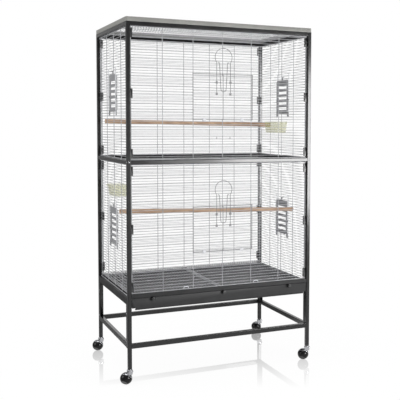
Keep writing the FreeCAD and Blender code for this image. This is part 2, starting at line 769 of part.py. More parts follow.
def latch_tongue(storey):
    """Bent spring wire on a front door, open at the top, where its ends hook outwards."""
    hinge = hinge_level(storey)
    depth = DOOR_FACE - LATCH_WIRE / 2
    rise = TONGUE_TOP - TONGUE_FOOT - TONGUE_FOOT_R
    lean = math.atan2(TONGUE_TOP_X - TONGUE_FOOT_R, rise)
    centre_z = hinge + TONGUE_FOOT + TONGUE_FOOT_R
    touch_x = TONGUE_FOOT_R * math.cos(lean)
    touch_z = centre_z - TONGUE_FOOT_R * math.sin(lean)
    top_z = hinge + TONGUE_TOP
    top_x = touch_x + (top_z - touch_z) * math.tan(lean)
    hook_x = top_x + TONGUE_HOOK_R * math.cos(lean)
    hook_z = top_z - TONGUE_HOOK_R * math.sin(lean)

    def at(x, z):
        return at_side("front", x, depth, z)

    def hook(sign, turn):
        angle = math.pi - lean - math.radians(turn)
        return at(sign * (hook_x + TONGUE_HOOK_R * math.cos(angle)), hook_z + TONGUE_HOOK_R * math.sin(angle))

    path = [
        Part.Arc(hook(-1, TONGUE_HOOK_TURN), hook(-1, TONGUE_HOOK_TURN / 2), hook(-1, 0)).toShape(),
        Part.LineSegment(hook(-1, 0), at(-touch_x, touch_z)).toShape(),
        Part.Arc(at(-touch_x, touch_z), at(0, centre_z - TONGUE_FOOT_R), at(touch_x, touch_z)).toShape(),
        Part.LineSegment(at(touch_x, touch_z), hook(1, 0)).toShape(),
        Part.Arc(hook(1, 0), hook(1, TONGUE_HOOK_TURN / 2), hook(1, TONGUE_HOOK_TURN)).toShape(),
    ]
    first = path[0].FirstParameter
    return bent_wire(path, LATCH_WIRE / 2, path[0].valueAt(first), path[0].tangentAt(first))


def front_door(storey):
    """Drop-down wire door with its hinge rod, keepers and spring tongue."""
    half = door_half()
    hinge = hinge_level(storey)
    top = hinge + DOOR_HEIGHT
    hinge_r = UPRIGHT / 2
    rod_depth = DOOR_BACK - hinge_r
    wires = [round_rod("x", at_side("front", -half, rod_depth, hinge), 2 * half, hinge_r)]
    for along in (-half + UPRIGHT / 2, 0.0, half - UPRIGHT / 2):
        foot = at_side("front", along, rod_depth, hinge + hinge_r)
        wires.append(thick_rod("z", foot, top - hinge - hinge_r, UPRIGHT))
    rim = at_side("front", -half, DOOR_PLANE - UPRIGHT / 2, top - UPRIGHT / 2)
    wires.append(thick_rod("x", rim, 2 * half, UPRIGHT))
    for level in door_wire_levels(storey):
        wires.append(thin_rod("x", at_side("front", -half, DOOR_PLANE - WIRE / 2, level), 2 * half))
    return wires + latch_keepers(storey) + [latch_tongue(storey)]


def door_latch(storey):
    """Bail whose legs slide in the keepers: two legs, two outward neck bends and a round top."""
    low, _ = keeper_levels(storey)
    foot = low - KEEPER_HEIGHT / 2 + KEEPER_FLOOR
    bulb_z = hinge_level(storey) + LATCH_TOP - LATCH_BULB_R
    reach = LATCH_NECK_R + LATCH_BULB_R
    neck_x = LATCH_LEG_X + LATCH_NECK_R
    neck_z = bulb_z - math.sqrt(reach**2 - neck_x**2)
    share = LATCH_NECK_R / reach
    meet_x = neck_x * (1 - share)
    meet_z = neck_z + (bulb_z - neck_z) * share
    bend = math.atan2(bulb_z - neck_z, neck_x) / 2
    mid_x = neck_x - LATCH_NECK_R * math.cos(bend)
    mid_z = neck_z + LATCH_NECK_R * math.sin(bend)

    def at(x, z):
        return at_side("front", x, LATCH_N, z)

    path = [
        Part.LineSegment(at(-LATCH_LEG_X, foot), at(-LATCH_LEG_X, neck_z)).toShape(),
        Part.Arc(at(-LATCH_LEG_X, neck_z), at(-mid_x, mid_z), at(-meet_x, meet_z)).toShape(),
        Part.Arc(at(-meet_x, meet_z), at(-LATCH_BULB_R, bulb_z), at(0, bulb_z + LATCH_BULB_R)).toShape(),
        Part.Arc(at(0, bulb_z + LATCH_BULB_R), at(LATCH_BULB_R, bulb_z), at(meet_x, meet_z)).toShape(),
        Part.Arc(at(meet_x, meet_z), at(mid_x, mid_z), at(LATCH_LEG_X, neck_z)).toShape(),
        Part.LineSegment(at(LATCH_LEG_X, neck_z), at(LATCH_LEG_X, foot)).toShape(),
    ]
    return [bent_wire(path, LATCH_WIRE / 2, at(-LATCH_LEG_X, foot), Vector(0, 0, 1))]


def door_hinges():
    """Sleeves round the doors' hinge rods, each with a tab on the panel's wires."""
    rod_depth = DOOR_BACK - UPRIGHT / 2
    sleeves = []
    for storey in ("upper", "lower"):
        hinge = hinge_level(storey)
        for sign in (-1, 1):
            start = sign * HINGE_X - HINGE_LENGTH / 2
            end = start + HINGE_LENGTH
            axis_start = at_side("front", start, rod_depth, hinge)
            barrel = round_rod("x", axis_start, HINGE_LENGTH, HINGE_OUTER_R)
            low = at_side("front", start, rod_depth, hinge - HINGE_TAB / 2)
            high = at_side("front", end, PANEL_DEPTH - WIRE, hinge + HINGE_TAB / 2)
            bore = round_rod("x", axis_start, HINGE_LENGTH, UPRIGHT / 2 + RUNNING_GAP)
            room = at_side("front", end, PANEL_DEPTH - WIRE, hinge + HINGE_OUTER_R)
            keep = box(at_side("front", start, 0, hinge - HINGE_OUTER_R), room)
            sleeves.append(barrel.common(keep).fuse(box(low, high)).removeSplitter().cut(bore))
    return sleeves


def door_hooks():
    """Pairs of hooks on the front panels that hold an open door."""
    hooks = []
    for storey in ("upper", "lower"):
        level = nearest_level("front", storey, hinge_level(storey) - HOOK_DROP)
        for sign in (-1, 1):
            tip = at_side("front", sign * HOOK_X, PANEL_DEPTH - WIRE - HOOK_REACH, level)
            hooks.append(thick_rod("y", tip, HOOK_REACH, HOOK_WIRE))
            foot = tip + Vector(0, HOOK_WIRE / 2, HOOK_WIRE / 2)
            hooks.append(thick_rod("z", foot, HOOK_RISE, HOOK_WIRE))
    return hooks


def guide_levels(side, storey):
    """Heights of the ends of a lift door's guide wires, each on a wire of the panel."""
    bottom = lift_bottom(side, storey)
    low = nearest_level(side, storey, bottom - GUIDE_DROP)
    high = nearest_level(side, storey, bottom + LIFT_HEIGHT + GUIDE_RISE)
    return low, high


def lift_door(side, storey):
    """Slotted sheet with a finger lip on a neck, and with feet and ears that run behind the guide wires."""
    bottom = lift_bottom(side, storey)
    outline = rect_wire(LIFT_WIDTH, LIFT_HEIGHT)
    outline.translate(Vector(0, LIFT_HEIGHT / 2, 0))
    slots = []
    for k in range(LIFT_SLOTS):
        slot = rounded_wire(LIFT_SLOT_LENGTH, LIFT_SLOT_HEIGHT, LIFT_SLOT_CORNER)
        slot.translate(Vector(0, LIFT_SLOT_START + k * LIFT_SLOT_PITCH, 0))
        slots.append(slot)
    sheet = holed_face([outline] + slots).extrude(Vector(0, 0, LIFT_SHEET))
    lip_top = LIFT_HEIGHT + LIFT_NECK_RISE
    neck_half = LIFT_NECK_WIDTH / 2
    neck = box(Vector(-neck_half, LIFT_HEIGHT - LIFT_SHEET, 0), Vector(neck_half, lip_top, LIFT_SHEET))
    lip_half = LIFT_LIP_WIDTH / 2
    lip = box(Vector(-lip_half, lip_top - LIFT_SHEET, 0), Vector(lip_half, lip_top, LIFT_LIP_REACH))
    foot_bottom = guide_levels(side, storey)[0] + GUIDE_WIRE / 2 - bottom
    foot_start = LIFT_WIDTH / 2 - LIFT_FOOT_INSET
    foot_end = LIFT_WIDTH / 2 + LIFT_EAR_REACH
    foot = box(Vector(foot_start, foot_bottom, 0), Vector(foot_end, LIFT_OVERLAP, LIFT_SHEET))
    ear_top = LIFT_EAR_LEVEL + LIFT_EAR_HEIGHT
    ear = box(Vector(foot_start, LIFT_EAR_LEVEL, 0), Vector(foot_end, ear_top, LIFT_SHEET))
    tabs = [foot, ear, foot.mirror(Vector(), Vector(1, 0, 0)), ear.mirror(Vector(), Vector(1, 0, 0))]
    door = sheet.fuse([neck, lip] + tabs).removeSplitter()
    door.rotate(Vector(), Vector(1, 0, 0), 90)
    door.rotate(Vector(), Vector(0, 0, 1), 90 if side == "right" else -90)
    door.translate(at_side(side, 0, LIFT_BACK, bottom))
    return [door]


def lift_door_guides():
    """Guide wires beside the lift doors, bent in to the panel at both ends."""
    guides = []
    along = LIFT_WIDTH / 2 + GUIDE_GAP + GUIDE_WIRE / 2
    length = PANEL_DEPTH - WIRE - GUIDE_N - GUIDE_WIRE / 2
    for side in ("left", "right"):
        for storey in ("upper", "lower"):
            levels = guide_levels(side, storey)
            height = levels[1] - levels[0] + GUIDE_WIRE
            for sign in (-1, 1):
                foot = at_side(side, sign * along, GUIDE_N, levels[0] - GUIDE_WIRE / 2)
                guides.append(thick_rod("z", foot, height, GUIDE_WIRE))
                for level in levels:
                    outer = at_side(side, sign * along, GUIDE_N + GUIDE_WIRE / 2, level)
                    start = outer if side == "left" else outer - Vector(length, 0, 0)
                    guides.append(thick_rod("x", start, length, GUIDE_WIRE))
    return guides


def perch(storey):
    """Sloping branch whose slotted ends sit on a wire of each side panel."""
    left = nearest_level("left", storey, PERCH_LEFT[storey])
    right = nearest_level("right", storey, PERCH_RIGHT[storey])
    middle = Vector(0, PERCH_Y[storey], (left + right) / 2)
    end = HALF_W - PANEL_DEPTH + WIRE + PERCH_OVERHANG
    branch = rod("x", middle - Vector(end, 0, 0), 2 * end, 2 * PERCH_R, PERCH_FLAT_COUNT)
    slope = math.degrees(math.atan2(left - right, 2 * end))
    branch.rotate(middle, Vector(0, 1, 0), slope)
    inner = HALF_W - PANEL_DEPTH - PERCH_KERF_PLAY
    outer = end + PERCH_R
    for level, low_x, high_x in ((left, -outer, -inner), (right, inner, outer)):
        low = Vector(low_x, middle.y - 2 * PERCH_R, level - WIRE / 2 - PERCH_KERF_PLAY)
        high = Vector(high_x, middle.y + 2 * PERCH_R, level + WIRE / 2)
        branch = branch.cut(box(low, high))
    return [branch]


def bowl(storey):
    """Tapered feeding bowl with two hooks over a wire of its panel."""
    side = BOWL_SIDES[storey]
    wire = nearest_level(side, storey, BOWL_RIMS[storey])
    hook_bottom = wire + WIRE / 2
    rim = hook_bottom + BOWL_HOOK_SHEET
    back = PANEL_DEPTH + UPRIGHT + BOWL_BACK_GAP
    taper = 2 * BOWL_TAPER
    foot_width = BOWL_WIDTH - taper
    foot_reach = BOWL_REACH - taper
    foot_corner = BOWL_CORNER - BOWL_TAPER
    walls = 2 * BOWL_WALL
    outer_foot = rounded_wire(foot_width, foot_reach, foot_corner)
    outer_rim = rounded_wire(BOWL_WIDTH, BOWL_REACH, BOWL_CORNER, BOWL_HEIGHT)
    inner_foot = rounded_wire(foot_width - walls, foot_reach - walls, foot_corner - BOWL_WALL, BOWL_WALL)
    inner_rim = rounded_wire(BOWL_WIDTH - walls, BOWL_REACH - walls, BOWL_CORNER - BOWL_WALL, BOWL_HEIGHT)
    shape = Part.makeLoft([outer_foot, outer_rim], True).cut(Part.makeLoft([inner_foot, inner_rim], True))
    back_wall = -BOWL_REACH / 2
    hook_end = back_wall - (back - (PANEL_DEPTH - WIRE - BOWL_HOOK_GAP - BOWL_HOOK_SHEET))
    leg_end = hook_end + BOWL_HOOK_SHEET
    tops = BOWL_HEIGHT
    under = tops - BOWL_HOOK_SHEET
    for sign in (-1, 1):
        middle = sign * BOWL_HOOK_SPACING / 2
        first = middle - BOWL_HOOK_WIDTH / 2
        last = middle + BOWL_HOOK_WIDTH / 2
        bridge = box(Vector(first, hook_end, under), Vector(last, back_wall + BOWL_WALL, tops))
        leg = box(Vector(first, hook_end, under - BOWL_HOOK_DROP), Vector(last, leg_end, tops))
        shape = shape.fuse([bridge, leg])
    shape = shape.removeSplitter()
    shape.rotate(Vector(), Vector(0, 0, 1), 90 if side == "right" else -90)
    centre = at_side(side, BOWL_OFFSETS[storey], back + BOWL_REACH / 2, rim - BOWL_HEIGHT)
    shape.translate(centre)
    return [shape]


def castor_pivot(corner):
    """Foot of a castor's stem axis on the floor."""
    sx, sy = CORNERS[corner]
    return Vector(sx * POST_X, sy * POST_Y, 0)


def tilt_wheel(shape):
    """Tilt a shape drawn about the wheel's axis, along local Z, beside a stem at the origin."""
    shape.rotate(Vector(), Vector(1, 0, 0), 90 + CASTOR_TILT)
    shape.translate(Vector(-CASTOR_TRAIL, 0, BALL_R))
    return shape


def place_castor(shape, corner):
    """Swivel a part of a castor about its stem and move it under its leg."""
    shape.rotate(Vector(), Vector(0, 0, 1), CASTOR_SWIVEL)
    shape.translate(castor_pivot(corner))
    return shape


def sphere_x(radius, height):
    """Radius of a ball's section at a height above its middle."""
    return math.sqrt(radius**2 - height**2)


def castor_wheel(corner):
    """Ball wheel, cut flat at its inner face and hub, with the axle's blind bore."""
    inner = -WHEEL_FACE
    rim = Vector(sphere_x(BALL_R, inner), 0, inner)
    hub = Vector(sphere_x(BALL_R, WHEEL_HUB), 0, WHEEL_HUB)
    bore_r = AXLE_R + RUNNING_GAP
    bore_end = AXLE_LENGTH + AXLE_END_GAP
    middle = math.sqrt(0.5) * BALL_R
    profile = [
        Part.LineSegment(Vector(0, 0, bore_end), Vector(bore_r, 0, bore_end)),
        Part.LineSegment(Vector(bore_r, 0, bore_end), Vector(bore_r, 0, inner)),
        Part.LineSegment(Vector(bore_r, 0, inner), rim),
        Part.Arc(rim, Vector(middle, 0, middle), hub),
        Part.LineSegment(hub, Vector(0, 0, WHEEL_HUB)),
        Part.LineSegment(Vector(0, 0, WHEEL_HUB), Vector(0, 0, bore_end)),
    ]
    face = Part.Face(Part.Wire([edge.toShape() for edge in profile]))
    return [place_castor(tilt_wheel(face.revolve(Vector(), Vector(0, 0, 1), 360)), corner)]


def castor_hood(corner):
    """Domed hood with the wheel's axle inside and the swivel boss on top."""
    rim = -WHEEL_FACE - WHEEL_GAP
    inner_r = BALL_R - HOOD_WALL
    boss_foot = -sphere_x(inner_r, AXLE_BOSS_R)
    diagonal = math.sqrt(0.5)
    profile = [
        Part.LineSegment(Vector(0, 0, AXLE_LENGTH), Vector(AXLE_R, 0, AXLE_LENGTH)),
        Part.LineSegment(Vector(AXLE_R, 0, AXLE_LENGTH), Vector(AXLE_R, 0, rim)),
        Part.LineSegment(Vector(AXLE_R, 0, rim), Vector(AXLE_BOSS_R, 0, rim)),
        Part.LineSegment(Vector(AXLE_BOSS_R, 0, rim), Vector(AXLE_BOSS_R, 0, boss_foot)),
        Part.Arc(
            Vector(AXLE_BOSS_R, 0, boss_foot),
            Vector(inner_r * diagonal, 0, -inner_r * diagonal),
            Vector(sphere_x(inner_r, rim), 0, rim),
        ),
        Part.LineSegment(Vector(sphere_x(inner_r, rim), 0, rim), Vector(sphere_x(BALL_R, rim), 0, rim)),
        Part.Arc(
            Vector(sphere_x(BALL_R, rim), 0, rim),
            Vector(BALL_R * diagonal, 0, -BALL_R * diagonal),
            Vector(0, 0, -BALL_R),
        ),
        Part.LineSegment(Vector(0, 0, -BALL_R), Vector(0, 0, AXLE_LENGTH)),
    ]
    face = Part.Face(Part.Wire([edge.toShape() for edge in profile]))
    dome = tilt_wheel(face.revolve(Vector(), Vector(0, 0, 1), 360))
    boss = Part.makeCylinder(BOSS_R, BOSS_TOP - BOSS_BOTTOM, Vector(0, 0, BOSS_BOTTOM))
    top_edges = [edge for edge in boss.Edges if edge.BoundBox.ZMin > BOSS_BOTTOM + BOSS_ROUND]
    boss = boss.makeFillet(BOSS_ROUND, top_edges)
    lug = Part.makeSphere(LUG_R, Vector(LUG_REACH, 0, LUG_Z))
    hood = dome.fuse([boss, lug]).removeSplitter()
    bore_bottom = STEM_BOTTOM - COLLAR_GAP
    bore = Part.makeCylinder(STEM_R + RUNNING_GAP, BOSS_TOP - bore_bottom, Vector(0, 0, bore_bottom))
    return [place_castor(hood.cut(bore), corner)]


def castor_stems():
    """Stems from the leg plugs down into the swivel bosses, each with a collar."""
    stems = []
    for corner in CORNERS:
        pivot = castor_pivot(corner)
        stem = Part.makeCylinder(STEM_R, STEM_TOP - STEM_BOTTOM, pivot + Vector(0, 0, STEM_BOTTOM))
        collar_bottom = BOSS_TOP + COLLAR_GAP
        collar = Part.makeCylinder(COLLAR_R, PLUG_BOTTOM - collar_bottom, pivot + Vector(0, 0, collar_bottom))
        stems.append(stem.fuse(collar).removeSplitter())
    return stems


def leg_plugs():
    """Plastic plugs in the feet of the legs, bored for the castor stems."""
    size = TUBE - 2 * TUBE_WALL - 2 * PLUG_GAP
    plugs = []
    for corner in CORNERS:
        pivot = castor_pivot(corner)
        flange = Part.Face(rounded_wire(TUBE, TUBE, TUBE_CORNER)).extrude(Vector(0, 0, PLUG_FLANGE))
        flange.translate(pivot + Vector(0, 0, PLUG_BOTTOM))
        stub = Part.Face(rect_wire(size, size)).extrude(Vector(0, 0, PLUG_DEPTH))
        stub.translate(pivot + Vector(0, 0, LEG_BOTTOM))
        bottom = pivot + Vector(0, 0, PLUG_BOTTOM)
        bore = Part.makeCylinder(STEM_R + RUNNING_GAP, PLUG_FLANGE + PLUG_DEPTH, bottom)
        plugs.append(flange.fuse(stub).removeSplitter().cut(bore))
    return plugs


def all_nodes():
    """Every sub-part by name, as its list of solids."""
    nodes = {
        "post_sleeves": post_sleeves(),
        "top_rails": rail_ring(TOP_RAIL_BOTTOM),
        "mid_rails": rail_ring(MID_RAIL_BOTTOM),
        "base_rails": base_rails(),
        "front_base_rail": front_base_rail(),
        "stretchers": stretchers(),
        "side_frame_left": side_frame(-1),
        "side_frame_right": side_frame(1),
        "leg_plugs": leg_plugs(),
        "castor_stems": castor_stems(),
        "roof_frame": roof_frame(),
        "roof_grille": roof_grille(),
        "panel_clips": panel_clips(),
        "door_hinges": door_hinges(),
        "door_hooks": door_hooks(),
        "lift_door_guides": lift_door_guides(),
        "tray": tray(),
        "tray_front": tray_front(),
        "tray_knobs": tray_knobs(),
        "tray_runners": tray_runners(),
        "grille_centre_bar": centre_bar(),
        "floor_grille_left": floor_grille(-1),
        "floor_grille_right": floor_grille(1),
    }
    for corner in CORNERS:
        nodes["lower_post_" + corner] = lower_post(corner)
        nodes["upper_post_" + corner] = upper_post(corner)
        nodes["castor_hood_" + corner] = castor_hood(corner)
        nodes["castor_wheel_" + corner] = castor_wheel(corner)
    for storey in ("upper", "lower"):
        nodes["door_" + storey] = front_door(storey)
        nodes["latch_" + storey] = door_latch(storey)
        nodes["perch_" + storey] = perch(storey)
        nodes["bowl_" + storey] = bowl(storey)
        for side in ("front", "rear", "left", "right"):
            nodes["panel_" + side + "_" + storey] = wire_panel(side, storey)
        for side in ("left", "right"):
            nodes["lift_door_" + side + "_" + storey] = lift_door(side, storey)
    return nodes


def main():
    """Write one STEP file per sub-part."""
    os.makedirs("parts", exist_ok=True)
    for name, solids in all_nodes().items():
        shape = solids[0] if len(solids) == 1 else Part.makeCompound(solids)
        shape.translate(ORIGIN_SHIFT)
        shape.exportStep(os.path.join("parts", name + ".step"))


main()
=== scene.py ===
import logging
import math
from dataclasses import dataclass, field
from enum import Enum
from typing import Iterable, Mapping, Sequence

import bmesh
import bpy
from mathutils import Matrix, Vector


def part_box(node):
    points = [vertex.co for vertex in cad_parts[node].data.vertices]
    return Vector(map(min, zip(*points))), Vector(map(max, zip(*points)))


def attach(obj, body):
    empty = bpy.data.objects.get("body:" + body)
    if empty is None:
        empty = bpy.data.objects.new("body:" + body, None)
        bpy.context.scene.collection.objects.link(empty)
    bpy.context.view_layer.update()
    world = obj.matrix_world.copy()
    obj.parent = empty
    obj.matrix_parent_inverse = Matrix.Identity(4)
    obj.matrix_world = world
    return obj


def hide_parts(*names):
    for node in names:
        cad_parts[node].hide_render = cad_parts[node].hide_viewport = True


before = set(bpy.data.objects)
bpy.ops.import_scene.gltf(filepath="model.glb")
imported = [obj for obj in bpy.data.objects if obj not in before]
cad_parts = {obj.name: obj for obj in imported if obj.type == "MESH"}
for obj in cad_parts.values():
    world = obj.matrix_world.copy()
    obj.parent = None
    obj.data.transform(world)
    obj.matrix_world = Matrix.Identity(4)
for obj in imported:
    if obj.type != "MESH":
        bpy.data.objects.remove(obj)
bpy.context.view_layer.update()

log = logging.getLogger("bird_cage")

Socket = bpy.types.NodeSocket
Sockets = Mapping[str, Socket]
Inputs = Mapping[str | int, object]
Triple = tuple[float, float, float]
Span = tuple[float, float]
Path = list[Vector]

MM = 0.001
EAST = Vector((1, 0, 0))
NORTH = Vector((0, 1, 0))
UP = Vector((0, 0, 1))
WHITE = (1, 1, 1, 1)
COOL_TINT = (1.0, 1.01, 1.05)
TINY = 1e-6
ROUND_SIDES = 8
SMOOTH_ANGLE = math.radians(50)
MERGE_DISTANCE = 0.005 * MM


class Side(Enum):
    """Sides of the cage; the front faces -Y."""

    FRONT = "front"
    REAR = "rear"
    LEFT = "left"
    RIGHT = "right"

    @property
    def runs_along_x(self) -> bool:
        """True for the front and the rear."""
        return self in (Side.FRONT, Side.REAR)


class Storey(Enum):
    """Upper and lower half of the cage."""

    UPPER = "upper"
    LOWER = "lower"


class Slot(Enum):
    """Material slots of the record."""

    FRAME = "frame_paint"
    ROOF = "roof_band"
    WIRE = "wire"
    TRAY = "tray_sheet"
    BLACK = "black_plastic"
    LIFT = "lift_door_plastic"
    BOWL = "bowl_plastic"
    WOOD = "perch_wood"
    METAL = "castor_metal"
    WHEEL = "wheel_black"


class Coat(Enum):
    """Finishes that only some pieces of a slot have; three of them are copies of the wire coat with light or
    shade painted into the colour.
    """

    # Darker copy of the wire coat: painted shade.
    LATCH = "latch"
    # Lighter copy of the wire coat: painted highlight.
    PLATED = "plated"
    SATIN = "satin"
    # Near-white copy of the wire coat: painted highlight.
    BRIGHT = "bright"


Look = Slot | Coat


class NodeMaker:
    """Adds nodes and links to one node tree."""

    def __init__(self, tree: bpy.types.NodeTree) -> None:
        """Keep the geometry or shader tree to work on."""
        self.tree = tree

    @classmethod
    def group(
        cls,
        name: str,
        kind: str,
        inputs: Sequence[tuple[str, str, object]],
        outputs: Sequence[tuple[str, str]],
    ) -> tuple["NodeMaker", Sockets]:
        """Start a node group.

        Args:
            name: Group name.
            kind: Tree type.
            inputs: Name, socket kind and default of each input.
            outputs: Name and socket kind of each output.

        Returns:
            The maker, and the outputs of the group's input node.
        """
        maker = cls(bpy.data.node_groups.new(name, kind))
        sockets = maker.tree.interface
        for label, form, default in inputs:
            made = sockets.new_socket(name=label, in_out="INPUT", socket_type="NodeSocket" + form)
            if default is not None:
                made.default_value = default
        for label, form in outputs:
            sockets.new_socket(name=label, in_out="OUTPUT", socket_type="NodeSocket" + form)
        return maker, maker.add("NodeGroupInput").outputs

    def feed(self, node: bpy.types.Node, inputs: Inputs) -> None:
        """Set the inputs of a node, or link them.

        Args:
            node: Node to feed.
            inputs: Value or output socket by the name or number of the input.
        """
        for key, value in inputs.items():
            if isinstance(value, Socket):
                self.tree.links.new(value, node.inputs[key])
            else:
                node.inputs[key].default_value = value

    def add(self, kind: str, inputs: Inputs | None = None, **settings: object) -> bpy.types.Node:
        """Add a node.

        Args:
            kind: Node type.
            inputs: Value or output socket by the name or number of the input.
            **settings: Properties to set on the node first.

        Returns:
            The new node.
        """
        node = self.tree.nodes.new(kind)
        for key, value in settings.items():
            setattr(node, key, value)
        self.feed(node, inputs or {})
        return node

    def place(self, kind: str = "Object") -> Socket:
        """Coordinates of the shaded point."""
        return self.add("ShaderNodeTexCoord").outputs[kind]

    def math(self, operation: str, first: object, second: object) -> Socket:
        """Result of a sum on two values or sockets."""
        return self.add("ShaderNodeMath", {0: first, 1: second}, operation=operation).outputs[0]

    def vector(self, operation: str, first: object, second: object = (0.0, 0.0, 0.0)) -> bpy.types.Node:
        """Node with a sum on two vectors or sockets."""
        return self.add("ShaderNodeVectorMath", {0: first, 1: second}, operation=operation)

    def noise(self, place: Socket, scale: object, detail: float) -> Socket:
        """Level of a noise texture."""
        inputs = {"Vector": place, "Scale": scale, "Detail": detail}
        return self.add("ShaderNodeTexNoise", inputs).outputs["Fac"]

    def remap(
        self,
        value: Socket,
        span: Span = (0.0, 1.0),
        to: tuple[object, object] = (0.0, 1.0),
        **settings: object,
    ) -> Socket:
        """Map a value from one span to another, and keep it inside.

        Args:
            value: Socket with the value.
            span: First and last value that come in.
            to: Values or sockets that these become.
            **settings: Properties to set on the node.

        Returns:
            Socket with the result.
        """
        inputs = {"Value": value, "From Min": span[0], "From Max": span[1], "To Min": to[0], "To Max": to[1]}
        return self.add("ShaderNodeMapRange", inputs, **settings).outputs["Result"]

    def blend(self, share: Socket, first: object, second: object) -> Socket:
        """Blend two colours.

        Args:
            share: Share of the second colour.
            first: First colour or socket.
            second: Second colour or socket.

        Returns:
            Socket with the colour.
        """
        mix = self.add("ShaderNodeMix", {"Factor": share}, data_type="RGBA")
        tones = [k for k, socket in enumerate(mix.inputs) if socket.type == "RGBA"]
        self.feed(mix, {tones[0]: first, tones[1]: second})
        return [socket for socket in mix.outputs if socket.type == "RGBA"][0]


